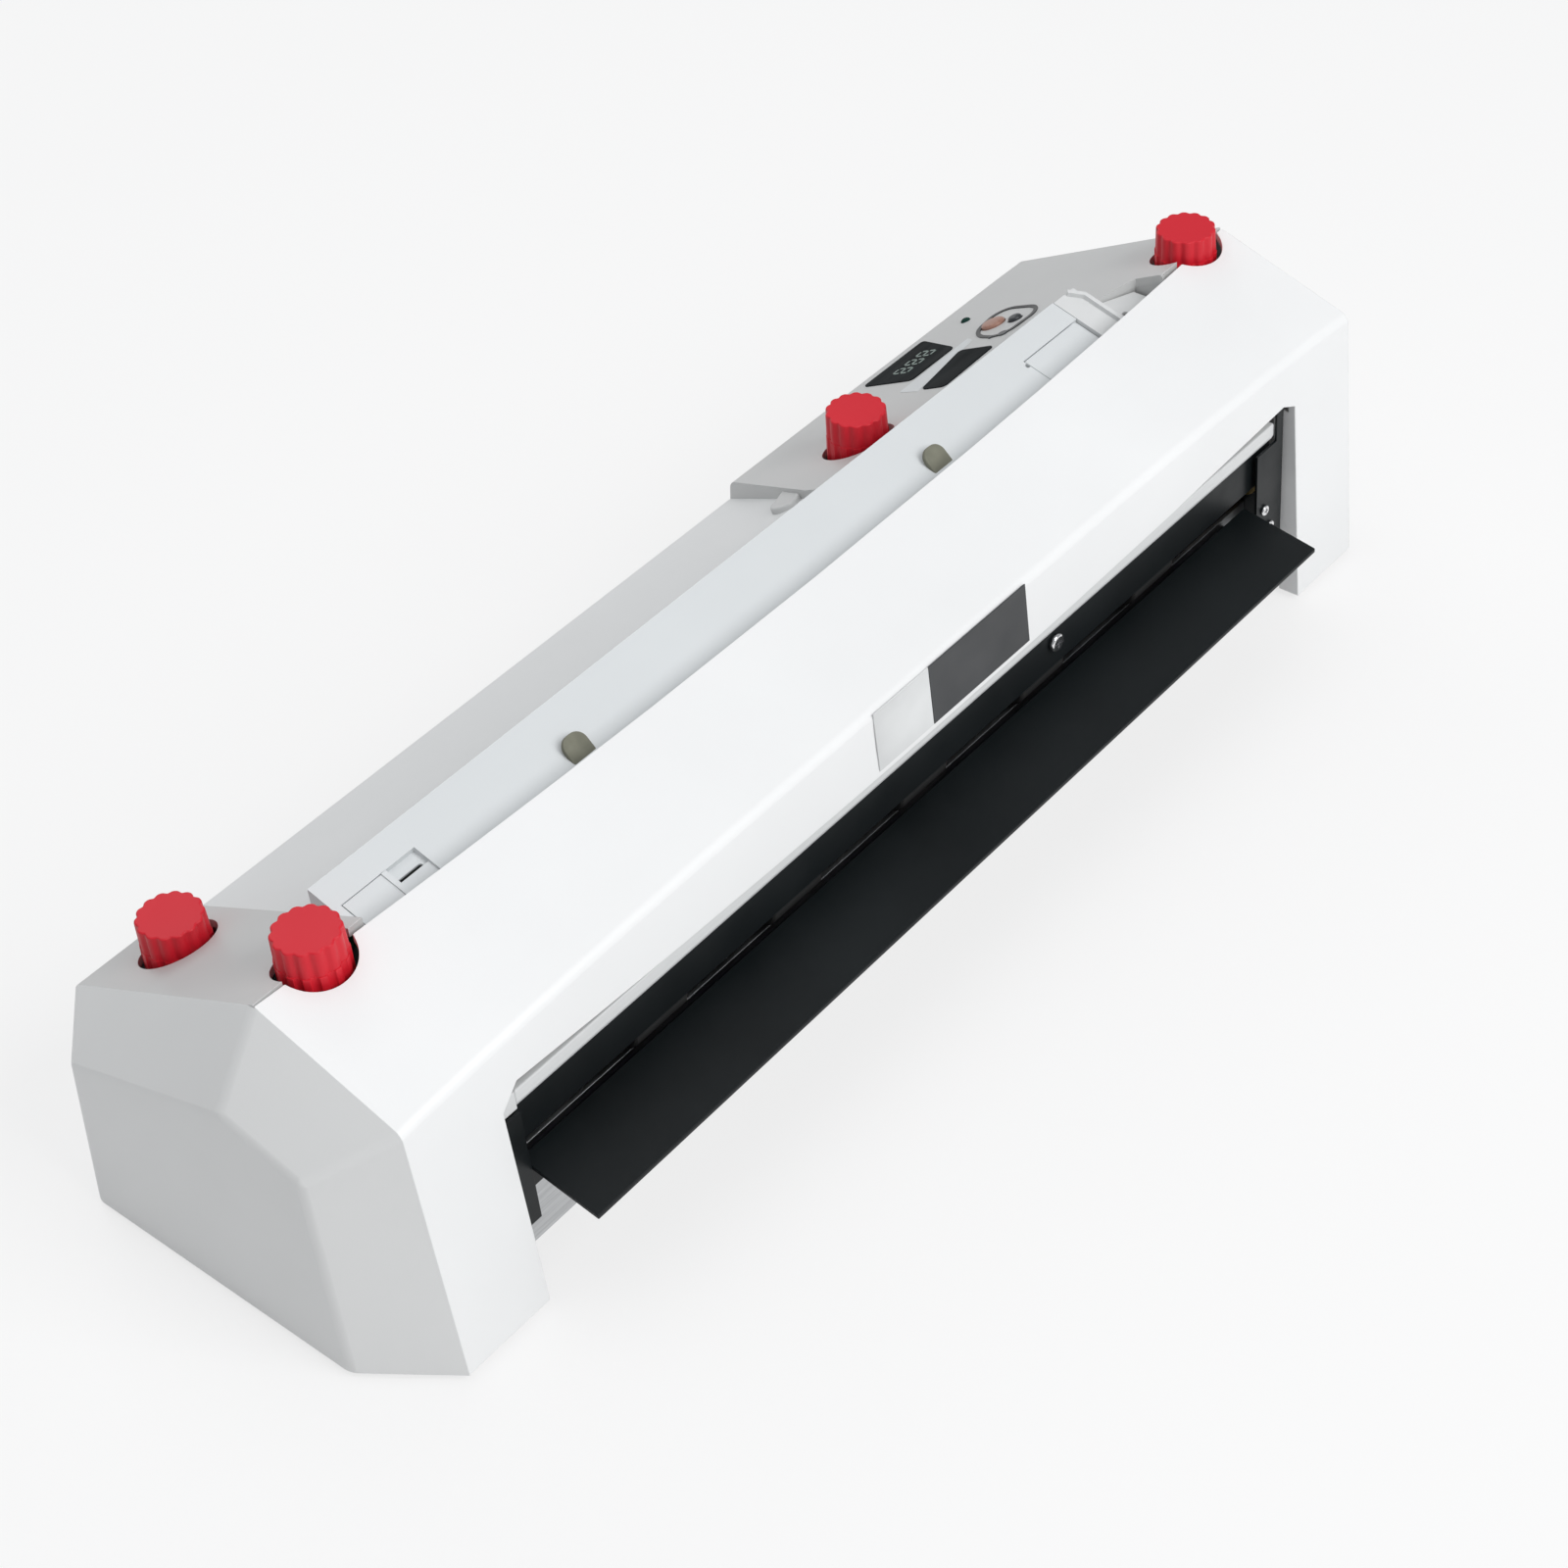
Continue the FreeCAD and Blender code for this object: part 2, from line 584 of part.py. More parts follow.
def rear_cover():
    """Grey cover: cheeks, sunk paper recess, console and back wall in one moulding."""
    lip = size("edge_setback") - size("seam_gap")
    block_body = prism("rear_cover_block", "YZ_Plane", [
        (ridge_y - lip, base_level), (ridge_y - lip, ridge_z - hood_slope * lip),
        (ridge_y, ridge_z), (back_y, back_z), (rear_y, base_level)],
        -half, half * 2)
    inside = prism("rear_cover_inside", "YZ_Plane", [
        (ridge_y - lip - 1, base_level - 1),
        (ridge_y - lip - 1, ridge_z - hood_slope * (lip + 1) - console_drop),
        (ridge_y, ridge_z - console_drop),
        (back_y - wall * BACK_SHARES[0], back_z - wall * BACK_SHARES[1]),
        (rear_y - wall, base_level - 1)],
        -half - 1, half * 2 + 2)
    hollow = cut("rear_cover_hollow", inside, recess_tool("recess_skin", wall))
    fence = size("fence_right") + size("fence_gap")
    well = prism("tray_well", "XY_Plane", [
        (-size("recess_left"), ridge_y - 5), (size("pocket_right"), ridge_y - 5),
        (size("pocket_right"), size("pocket_corner_front")), (fence, size("pocket_corner_back")),
        (fence, size("tray_well_back")), (-size("recess_left"), size("tray_well_back"))],
        back_z / 2, ridge_z)
    holes = [drum(f"rear_cover_{label}_hole", size("knob_hole_radius"), ridge_z, x, y,
                  back_z - 8) for label, (x, y) in KNOBS.items()]
    return cut("rear_cover", block_body, hollow, recess_tool("recess", dim(0)), well, *holes,
               *console_openings(), *wall_openings())


def base_pan():
    """Steel pan: floor, upturned rear flange and the tall front guard under the apron."""
    sheet_gauge = size("pan_sheet")
    length = half - size("seam_gap") - 1
    rear = rear_y - wall * 1.05 - size("pan_rear_gap")
    lean = wall_slope * size("pan_flange")
    front = -size("pan_front")
    guard = size("pan_guard_height")
    tray = prism("pan_floor", "YZ_Plane", [
        (front, base_level), (rear, base_level), (rear - lean, base_level + size("pan_flange")),
        (rear - lean - sheet_gauge, base_level + size("pan_flange")),
        (rear - sheet_gauge, base_level + sheet_gauge),
        (front + sheet_gauge, base_level + sheet_gauge), (front + sheet_gauge, guard),
        (front, guard)], -size("frame_inner"), size("frame_inner") * 2)
    sides = [prism(f"pan_side{number}", "XY_Plane", [
        (side * size("frame_inner"), front_y + wall + 1), (side * length, front_y + wall + 1),
        (side * length, rear - 2), (side * size("frame_inner"), rear - 2)],
        base_level, sheet_gauge) for number, side in enumerate((-1, 1))]
    inner = size("mouth_length") / 2 + wall + 1
    trims = [block(f"pan_trim{number}", -inner if side < 0 else size("frame_inner") - 1,
                   front_y, 0, inner - size("frame_inner") + 1,
                   size("front_reach") - size("pan_front"), 20)
             for number, side in enumerate((-1, 1))]
    return cut("base_pan", fuse("pan_whole", tray, *sides), *trims)


def feet():
    """Four rubber feet under the pan."""
    pieces = []
    reach_x = half - size("foot_inset")
    for number, (side, y) in enumerate(((-1, -1), (1, -1), (-1, 1), (1, 1))):
        spot_y = front_y + size("foot_inset") if y < 0 else rear_y - size("foot_inset") - 4
        foot = turned(f"foot{number}", [
            (0, 0), (size("foot_radius") - 1, 0), (size("foot_radius"), base_level), (0, base_level)],
            "XZ_Plane", "V_Axis")
        place(foot, reach_x * side, spot_y, 0)
        pieces.append(foot)
    return group("rubber_feet", *pieces)


# ---------------------------------------------------------------- paper path

path_turn = size("path_angle")
path_cos = derive("path_cos", cosine(path_turn))
path_sin = derive("path_sin", sine(path_turn))


def station(along, behind):
    """Place in Y and Z of a point so far down the paper path and so far behind it."""
    y = -size("path_start_y") - path_cos * along + path_sin * behind
    z = size("path_start_height") - path_sin * along - path_cos * behind
    return y, z


def on_path(body):
    """Turn a body drawn with Y behind the paper and Z back up the path into place."""
    return place(body, 0, -size("path_start_y"), size("path_start_height"),
                 (1, 0, 0), path_turn - 90)


def axle(name, along, behind):
    y, z = station(along, behind)
    return derive(f"{name}_y", y), derive(f"{name}_z", z)


gap = size("paper_half_gap")
clearance = size("bore_clearance")
gear_module = size("gear_module")
slitter_pitch = gear_module * TEETH["slitter"] / 2
feed_axis = axle("feed_axis", size("feed_station"), size("feed_radius") + gap)
pinch_axis = axle("pinch_axis", size("feed_station"), -size("pinch_radius") - gap)
lower_axis = axle("lower_axis", size("slit_station"), slitter_pitch)
upper_axis = axle("upper_axis", size("slit_station"), -slitter_pitch)
exit_axis = axle("exit_axis", size("exit_station"), size("exit_radius") + gap)
crank_axis = axle("crank_axis", size("cut_station"), size("crank_depth"))

frame_outer = size("frame_inner") + size("frame_sheet")
shaft_end = frame_outer + 1
gear_start = frame_outer + size("gear_gap")
gear_end = gear_start + size("gear_width")


def stepped_shaft(name, radius, axis, right, left):
    """Ground shaft along X with a short chamfer at each end."""
    chamfer = 0.6
    body = turned(name, [
        (-left, 0), (-left, radius - chamfer), (-left + chamfer, radius),
        (right - chamfer, radius), (right, radius - chamfer), (right, 0)])
    return place(body, 0, *axis)


def sleeves(name, radius, bore, axis, count, width, pitch):
    """Rubber sleeves on a shaft."""
    pieces = []
    chamfer = size("sleeve_chamfer")
    for number in range(count):
        middle = pitch * (number - (count - 1) / 2)
        near, far = middle - width / 2, middle + width / 2
        piece = turned(f"{name}_{number}", [
            (near, bore), (near, radius - chamfer), (near + chamfer, radius),
            (far - chamfer, radius), (far, radius - chamfer), (far, bore)])
        pieces.append(place(piece, 0, *axis))
    return group(name, *pieces)


def knives(name, axis, side):
    """Round knives with a hub, one for each slit, bevelled on the side away from the mate."""
    pieces = []
    for number in range(KNIFE_PAIRS):
        line = size("card_width") * (number - (KNIFE_PAIRS - 1) / 2)
        flat = line + size("disc_side_gap") / 2 * side
        back = flat + size("disc_width") * side
        hub = flat + size("disc_width") * 4 * side
        piece = turned(f"{name}_{number}", [
            (flat, size("shaft_radius")), (flat, size("disc_radius")),
            (flat + side * 0.3, size("disc_radius")), (back, size("disc_radius") - 1),
            (back, size("shaft_radius") + 2), (hub, size("shaft_radius") + 2),
            (hub, size("shaft_radius"))])
        pieces.append(place(piece, 0, *axis))
    return group(name, *pieces)


def gear(name, teeth, bore, axis, turn, start=None, width=None):
    """Spur gear with its first tooth at the top before it is turned into mesh."""
    start = gear_start if start is None else start
    width = size("gear_width") if width is None else width
    pitch = gear_module * (teeth / 2)
    foot = pitch - gear_module * TOOTH["root"]
    tip = pitch + gear_module * TOOTH["tip"]
    broad, middle, narrow = (gear_module * TOOTH[key]
                             for key in ("foot_half", "pitch_half", "tip_half"))
    sunk = foot - gear_module * TOOTH["sunk"]
    body = new_body(name)
    wheel = new_sketch(body, f"{name}_wheel", "YZ_Plane", start)
    circle(wheel, 0, 0, foot)
    circle(wheel, 0, 0, bore)
    pad(body, wheel, width)
    tooth = new_sketch(body, f"{name}_tooth", "YZ_Plane", start)
    polygon(tooth, [(-broad, sunk), (broad, sunk), (broad, foot), (middle, pitch), (narrow, tip),
                    (-narrow, tip), (-middle, pitch), (-broad, foot)])
    ridge = pad(body, tooth, width)
    pattern = body.newObject("PartDesign::PolarPattern", f"{name}_teeth")
    pattern.Originals = [ridge]
    pattern.Axis = ([item for item in body.Origin.OriginFeatures if item.Role == "X_Axis"][0], [""])
    pattern.Angle = 360
    pattern.Occurrences = teeth
    body.Tip = pattern
    return place(body, 0, axis[0], axis[1], (1, 0, 0), turn)


def pinion(name, axis, turn, side):
    """Motor pinion on a short shaft, which runs in the bored nose of its motor."""
    radius = size("motor_shaft_radius")
    inner = size("frame_inner") - size("nose_bore_depth") + size("shaft_end_gap")
    length = gear_end - inner
    wheel = gear(f"{name}_wheel", TEETH["pinion"], radius - 0.5, axis, turn,
                 gear_start if side > 0 else -gear_end)
    journal = rod(f"{name}_journal", radius, inner if side > 0 else -gear_end, length, *axis)
    return fuse(name, wheel, journal)


def mesh_turn(first_teeth, first_turn, second_teeth, from_axis, to_axis):
    """Turn that puts a gap of the second gear over the tooth of the first along their line."""
    line = bearing(to_axis[1] - from_axis[1], to_axis[0] - from_axis[0])
    lead = (line - 90 - first_turn) * (first_teeth / second_teeth)
    return line - 90 + 180 + lead + 180.0 / second_teeth


def third_centre(name, start, start_reach, end, end_reach, side):
    """Centre at two given distances from two others, on the chosen side of their line."""
    across = derive(f"{name}_run", end[0] - start[0])
    up = derive(f"{name}_rise", end[1] - start[1])
    span = derive(f"{name}_span", root(across * across + up * up))
    along = derive(f"{name}_along", (span * span + start_reach * start_reach
                                     - end_reach * end_reach) / (span * 2))
    off = derive(f"{name}_off", root(start_reach * start_reach - along * along) * side)
    return (derive(f"{name}_y", start[0] + across / span * along - up / span * off),
            derive(f"{name}_z", start[1] + up / span * along + across / span * off))


def pitch_of(kind):
    return gear_module * (TEETH[kind] / 2)


feed_idler_axis = third_centre(
    "feed_idler", feed_axis, pitch_of("feed") + pitch_of("feed_idler"),
    lower_axis, pitch_of("slitter") + pitch_of("feed_idler"), 1)
exit_idler_axis = third_centre(
    "exit_idler", lower_axis, pitch_of("slitter") + pitch_of("exit_idler"),
    exit_axis, pitch_of("exit") + pitch_of("exit_idler"), 1)
motor_line = size("motor_line")
feed_reach = pitch_of("feed_idler") + pitch_of("pinion")
feed_motor_axis = (
    derive("feed_motor_y", feed_idler_axis[0] + feed_reach * cosine(motor_line)),
    derive("feed_motor_z", feed_idler_axis[1] + feed_reach * sine(motor_line)))
cut_motor_axis = (
    derive("cut_motor_y", crank_axis[0] + pitch_of("crank") + pitch_of("pinion")),
    crank_axis[1])


def motor(name, axis, side):
    """Small geared motor: gearbox against the side frame, can behind it, bored nose."""
    reach = size("frame_inner")
    radius = size("motor_radius")
    can = radius - size("motor_step")
    end = reach - size("motor_length")
    gearbox = reach - size("gearbox_length")
    nose, nose_end = size("nose_radius"), frame_outer + size("nose_hole_gap")
    bore, bore_end = size("motor_shaft_radius") + clearance, reach - size("nose_bore_depth")
    body = turned(name, [(side * along, out) for along, out in (
        (end, 0), (end, can - 2), (end + 2, can), (gearbox, can), (gearbox, radius),
        (reach, radius), (reach, nose), (nose_end, nose), (nose_end, bore), (bore_end, bore),
        (bore_end, 0))])
    return place(body, 0, *axis)


def side_frame(name, side, axes):
    """Steel side frame with a hole for every bush and motor."""
    low = base_level + size("pan_sheet")
    start = size("frame_inner") if side > 0 else -frame_outer
    front, back = front_y + size("frame_end_gap"), back_y - size("frame_back_gap")
    crown = ridge_z - size("frame_crown_drop")
    plate = prism(f"{name}_plate", "YZ_Plane", [
        (front, low), (front, size("knee_height") - size("frame_knee_drop")),
        (ridge_y - size("frame_crown_reach"), crown - 1), (ridge_y - wall * 3, crown),
        (ridge_y, ridge_z - size("frame_ridge_drop")),
        (back, back_z - size("frame_back_drop")), (back, low)],
        start, size("frame_sheet"))
    holes = []
    for number, (axis, radius) in enumerate(axes):
        hole = rod(f"{name}_hole{number}", radius, start - 1, size("frame_sheet") + 2, *axis)
        holes.append(hole)
    return cut(name, plate, *holes)


def bush(name, axis, bore, side):
    """Flanged bush in a side frame."""
    inner = size("frame_inner")
    outer_radius = bore + size("bush_wall")
    body = turned(name, [
        (side * (inner - 1), bore), (side * (inner - 1), outer_radius + 1),
        (side * inner, outer_radius + 1), (side * inner, outer_radius),
        (side * frame_outer, outer_radius), (side * frame_outer, bore)])
    return place(body, 0, *axis)


SHAFTS = [("feed", feed_axis, size("shaft_radius")), ("pinch", pinch_axis, size("small_shaft_radius")),
          ("lower", lower_axis, size("shaft_radius")), ("upper", upper_axis, size("shaft_radius")),
          ("exit", exit_axis, size("small_shaft_radius")), ("crank", crank_axis, size("shaft_radius"))]


def bushes():
    pieces = []
    for label, axis, radius in SHAFTS:
        for side in (-1, 1):
            pieces.append(bush(f"bush_{label}_{'left' if side < 0 else 'right'}",
                               axis, radius + clearance, side))
    return group("shaft_bushes", *pieces)


tray_tilt = derive("tray_tilt", bearing(size("tray_back_height") - size("tray_front_height"),
                                        size("tray_back_y") + size("tray_front_y")))


def on_tray(body):
    """Set a body drawn with Y up the tray's slope and Z off its face on the tray."""
    return place(body, 0, -size("tray_front_y"), size("tray_front_height"), (1, 0, 0), tray_tilt)


def obround(name, plane, middle_x, middle_y, width, length, start, height):
    """Pad with round ends, its long side along the sketch's second axis."""
    radius = width / 2
    straight = length / 2 - radius
    return prism(name, plane, [
        (middle_x - radius, middle_y - straight), (middle_x + radius, middle_y - straight),
        (middle_x + radius, middle_y + straight), (middle_x - radius, middle_y + straight)],
        start, height, arcs={
            0: ("Y", middle_y - straight, (middle_x, middle_y - straight - radius)),
            2: ("Y", middle_y + straight, (middle_x, middle_y + straight + radius))})


def rectangle(left, right, low, high):
    return [(left, low), (right, low), (right, high), (left, high)]


def infeed_tray():
    """Paper table with a turned-down back lip, pockets for the pads, the guide and the plate."""
    front, back = -size("tray_front_y"), size("tray_back_y")
    low, high = size("tray_front_height"), size("tray_back_height")
    gauge = size("tray_sheet")
    left = -size("frame_inner") + size("seam_gap")
    plate = prism("tray_plate", "YZ_Plane", [
        (front, low), (back, high), (back, high - size("tray_lip")),
        (back - gauge, high - size("tray_lip")), (back - gauge, high - gauge * 1.4),
        (front, low - gauge * 1.05)], left, size("tray_right") - left)
    depth = size("pocket_depth")
    edge = size("guide_clearance")
    pockets = [
        prism("guide_pocket", "XY_Plane", rectangle(
            -size("guide_left_x") - edge,
            -size("guide_left_x") + size("guide_length") + size("guide_travel") + edge,
            size("guide_front") - edge, size("guide_back") + edge),
            -size("guide_depth"), size("guide_depth") * 2),
        prism("guide_well", "XY_Plane", rectangle(
            guide_pin_x - size("pin_radius_slot"),
            -size("guide_left_x") + size("guide_length") + size("guide_travel") + edge,
            size("guide_slot_station") - size("pin_radius_slot"), size("guide_back") + edge),
            -size("guide_well_depth"), size("guide_well_depth") * 2),
        obround_slot("guide_slot", size("pin_radius_slot")),
        corner_dot(),
        prism("plate_pocket", "XY_Plane", rectangle(
            size("plate_left_x") - edge, size("tray_right") + 1,
            size("guide_front") - edge, size("guide_back") + edge), -depth, depth * 2)]
    for label, x in (("left", -size("pad_left_x")), ("right", size("pad_right_x"))):
        pockets.append(obround(
            f"{label}_pad_pocket", "XY_Plane", x, size("pad_station"),
            size("pad_width") + size("pad_clearance") * 2,
            size("pad_length") + size("pad_clearance") * 2, -depth, depth * 2))
    return cut("infeed_tray", plate, *[on_tray(pocket_tool) for pocket_tool in pockets])


def obround_slot(name, radius):
    """Slot through the tray for the guide's pin, as long as the guide's travel."""
    start = guide_pin_x
    end = guide_pin_x + size("guide_travel")
    middle = size("guide_slot_station")
    return prism(name, "XY_Plane", [
        (start, middle - radius), (end, middle - radius),
        (end, middle + radius), (start, middle + radius)], -size("tray_sheet") * 2,
        size("tray_sheet") * 2, arcs={
            1: ("X", end, (end + radius, middle)), 3: ("X", start, (start - radius, middle))})


def corner_dot():
    """Small round hole at the corner of the plate's pocket."""
    body = new_body("corner_dot")
    spot = new_sketch(body, "corner_dot_spot", "XY_Plane", -size("tray_sheet") * 2)
    circle(spot, size("dot_x"), size("dot_station"), size("dot_radius"))
    pad(body, spot, size("tray_sheet") * 4)
    return body


guide_pin_x = -size("guide_left_x") + size("guide_length") - size("guide_pin_inset")


def friction_pad(name, x):
    """Rubber pad that stands a little proud of the tray."""
    pad_body = obround(name, "XY_Plane", x, size("pad_station"), size("pad_width"),
                       size("pad_length"), -size("pocket_depth"),
                       size("pocket_depth") + size("pad_proud"))
    return on_tray(pad_body)


def left_guide():
    """Sliding side guide: flush plate with a low stop lip and a pin that runs in the slot."""
    left = -size("guide_left_x")
    right = left + size("guide_length")
    depth = size("guide_depth")
    body = new_body("left_guide")
    plate = new_sketch(body, "guide_plate", "XY_Plane", -depth)
    polygon(plate, rectangle(left, right, size("guide_front"), size("guide_back")))
    pad(body, plate, depth)
    lip = new_sketch(body, "guide_stop", "XY_Plane", -depth / 2)
    polygon(lip, rectangle(right - 1.6, right, size("guide_front"), size("guide_back")))
    pad(body, lip, size("guide_lip") + depth / 2)
    pin = new_sketch(body, "guide_pin", "XY_Plane", -depth - size("tray_sheet") / 2)
    circle(pin, guide_pin_x, size("guide_slot_station"),
           size("pin_radius_slot") - size("guide_clearance"))
    pad(body, pin, size("tray_sheet") / 2 + depth / 2)
    return on_tray(body)


def cover_plate():
    """Flush plate over the paper sensor at the right end of the tray."""
    return on_tray(prism("sensor_plate", "XY_Plane", rectangle(
        size("plate_left_x"), size("plate_right_x"), size("guide_front"), size("guide_back")),
        -size("pocket_depth"), size("pocket_depth")))


def side_fence():
    """Right-hand paper fence: a plate level with the tray and a low lip along its edge."""
    start = size("tray_right") + size("seam_gap")
    end = size("fence_right")
    depth = size("tray_sheet")
    body = new_body("fence_plate")
    base = new_sketch(body, "fence_base", "XY_Plane", -depth)
    front, back = size("fence_front"), size("fence_back")
    polygon(base, rectangle(start, end, front, back))
    pad(body, base, depth)
    lip = new_sketch(body, "fence_lip", "XY_Plane", -depth / 2)
    inner = end - size("fence_lip_sheet")
    corner = size("fence_corner")
    polygon(lip, [(inner, front), (inner, back - corner - 0.5), (end - corner, back - 1),
                  (end - corner + 1, back), (end, back - corner), (end, front)])
    pad(body, lip, depth / 2 + size("fence_lip"))
    on_tray(body)
    sill = size("sill_height")
    right = size("pocket_right") - 1
    sill_front = ridge_y - size("sill_front_gap")
    floor = prism("fence_sill", "XY_Plane", [
        (end - 1, sill_front), (right, sill_front), (right, size("sill_corner_front")),
        (end - 1, size("sill_corner_back"))], sill, size("sill_sheet"))
    hole = drum("fence_sill_hole", size("sill_hole_radius"), size("sill_sheet") * 3,
                size("sill_hole_x"), -size("sill_hole_reach"), sill - size("sill_sheet"))
    return cut("right_fence", fuse("fence_and_sill", body, floor), hole)


# ---------------------------------------------------------------- knobs


def ground_at(label):
    """Height of the housing's outside at a knob's centre."""
    y = KNOBS[label][1]
    if y.value < ridge_y.value:
        return ridge_z - hood_slope * (ridge_y - y)
    return ridge_z - console_slope * (y - ridge_y)


def knob_cap(label):
    """Fluted round knob with its underside sunk in the housing."""
    x, y = KNOBS[label]
    rise = size(f"{label}_rise")
    top = size("knob_radius") - size("knob_taper")
    height = rise + size("knob_sink")
    body = turned(f"{label}_knob_cap", [
        (0, -height), (size("knob_radius"), -height), (size("knob_radius"), -rise),
        (top, -size("knob_edge")), (top - size("knob_edge"), 0), (0, 0)], "XZ_Plane", "V_Axis")
    flute = new_sketch(body, f"{label}_flute", "XY_Plane", 0)
    circle(flute, size("knob_radius") - size("flute_depth") + size("knob_flute"), 0,
           size("knob_flute"))
    groove = pocket(body, flute, height + 1)
    pattern = body.newObject("PartDesign::PolarPattern", f"{label}_flutes")
    pattern.Originals = [groove]
    pattern.Axis = ([item for item in body.Origin.OriginFeatures if item.Role == "Z_Axis"][0], [""])
    pattern.Angle = 360
    pattern.Occurrences = FLUTES
    body.Tip = pattern
    return place(body, x, y, ground_at(label) + rise)


def spindle(label):
    x, y = KNOBS[label]
    top = ground_at(label) - size("knob_sink")
    return drum(f"{label}_spindle", size("spindle_radius"), size("spindle_length"), x, y,
                top - size("spindle_length"))


def knob_bracket(label):
    """Steel shelf on the side frame that the knob's spindle runs through."""
    x, y = KNOBS[label]
    side = -1 if x.value < 0 else 1
    shelf = ground_at(label) - size("knob_sink") - size("bracket_sheet") - size("bracket_gap")
    outer = x * side + size("bracket_reach")
    width = size("bracket_width")
    start = -outer if side < 0 else frame_outer
    plate = block(f"{label}_shelf", start, y - width / 2, shelf, outer - frame_outer, width,
                  size("bracket_sheet"))
    hole = drum(f"{label}_shelf_hole", size("spindle_radius") + clearance,
                size("bracket_sheet") * 3, x, y, shelf - size("bracket_sheet"))
    return cut(f"{label}_bracket", plate, hole)


def cross_bar():
    """Flat bar between the side frames that holds the console knob's spindle."""
    x, y = KNOBS["console"]
    low, thick = size("cross_bar_height"), size("cross_bar_sheet")
    width = size("cross_bar_width")
    bar = block("cross_bar_bar", -size("frame_inner"), y - width / 2, low,
                size("frame_inner") * 2, width, thick)
    hole = drum("cross_bar_hole", size("spindle_radius") + clearance, thick * 2, x, y,
                low - thick / 2)
    return cut("cross_bar", bar, hole)


# ---------------------------------------------------------------- exit and cross knife


def exit_bar():
    """Pale bar behind the arch, bevelled along its lower front edge."""
    front = -size("bar_y")
    back = front + size("bar_sheet")
    length = size("frame_inner") - size("seam_gap")
    return prism("exit_bar", "YZ_Plane", [
        (back, size("bar_low")), (front + 1, size("bar_low")),
        (front, size("bar_low") + size("bar_bevel")),
        (front, size("bar_high")), (back, size("bar_high"))], -length, length * 2)


def exit_guard():
    """Black sheet that closes the front below the bar, down to the card slot."""
    back = -size("bar_y") + size("bar_sheet")
    front = back - size("guard_sheet")
    length = size("frame_inner") - size("seam_gap")
    return prism("exit_guard", "YZ_Plane", [
        (front, size("guard_low")), (back, size("guard_low")),
        (back, size("bar_low") - size("bar_seam")), (front, size("bar_low") - size("bar_seam"))],
        -length, length * 2)


def exit_apron():
    """Black delivery sheet, folded down behind its rear edge on to the pan's guard."""
    gauge = size("apron_sheet")
    front, rear = -size("apron_reach"), -size("apron_rear_y")
    guard = -size("pan_front")
    low, high = size("apron_front_height"), size("apron_rear_height")
    shelf = size("pan_guard_height") - size("apron_rest")
    fold = shelf - size("apron_fold")
    left = -size("frame_inner") + size("seam_gap")
    return prism("exit_apron", "YZ_Plane", [
        (front, low), (rear, high), (rear, shelf + gauge), (guard, shelf + gauge),
        (guard, fold), (guard - gauge, fold), (guard - gauge, shelf),
        (rear - gauge, shelf), (rear - gauge, high - gauge * 1.2), (front, low - gauge)],
        left, size("apron_right") - left)


def guard_screw():
    """Bright cap screw on the guard."""
    front = -size("bar_y") + size("bar_sheet") - size("guard_sheet")
    radius, rise = size("screw_radius"), size("screw_rise")
    body = turned("guard_screw", [(0, 0), (radius, 0), (radius, rise / 2), (radius - 0.8, rise),
                                  (0, rise)], "XZ_Plane", "V_Axis")
    return place(body, size("screw_x"), front, size("bar_low") - size("screw_drop"), (1, 0, 0), 90)


cut_line = size("cut_station")
blade = size("blade_sheet")
carrier_front = size("carrier_front")
carrier_back = carrier_front + size("carrier_width")


def fixed_blade():
    """Bed knife of the cross cut, ground back under its edge."""
    upper = -(cut_line + size("blade_clearance"))
    length = size("knife_length") + size("bed_overhang") * 2
    edge = -size("bed_edge_gap")
    heel = edge - size("bed_depth")
    return on_path(prism("fixed_blade", "YZ_Plane", [
        (edge, upper), (heel, upper), (heel, upper - blade),
        (edge - size("bed_relief"), upper - blade)], -length / 2, length))


def blade_beam():
    """Steel beam under the bed knife, from one side frame to the other."""
    upper = -(cut_line + size("blade_clearance")) - blade
    near = -size("beam_edge_gap")
    far = near - size("beam_depth")
    low = upper - size("beam_height")
    return on_path(prism("blade_beam", "YZ_Plane", [
        (near, upper), (far, upper), (far, low), (near, low)],
        -size("frame_inner"), size("frame_inner") * 2))


def moving_blade():
    """Cross knife whose edge runs on a slant, so it shears from one end to the other."""
    length = size("knife_length") / 2
    tip = size("knife_rest_gap")
    back = carrier_front + size("carrier_width") - size("carrier_sheet")
    return on_path(prism("moving_blade", "XY_Plane", [
        (-length, tip), (length, tip + size("knife_shear")), (length, back), (-length, back)],
        -cut_line, blade))


def blade_carrier():
    """Bar that carries the cross knife: sliding plate and a stiffening flange behind it."""
    reach = size("carrier_length") / 2
    gauge = size("carrier_sheet")
    top = -(cut_line - blade - gauge)
    low = top - size("carrier_flange")
    plate = prism("carrier_plate", "YZ_Plane", [
        (carrier_front, top - gauge), (carrier_back, top - gauge),
        (carrier_back, top), (carrier_front, top)], -reach, reach * 2)
    flange = prism("carrier_flange", "YZ_Plane", [
        (carrier_back - gauge, low), (carrier_back, low),
        (carrier_back, top - 1), (carrier_back - gauge, top - 1)],
        -size("knife_length") / 2, size("knife_length"))
    return fuse("blade_carrier", on_path(fuse("carrier_bar", plate, flange)), *yokes())


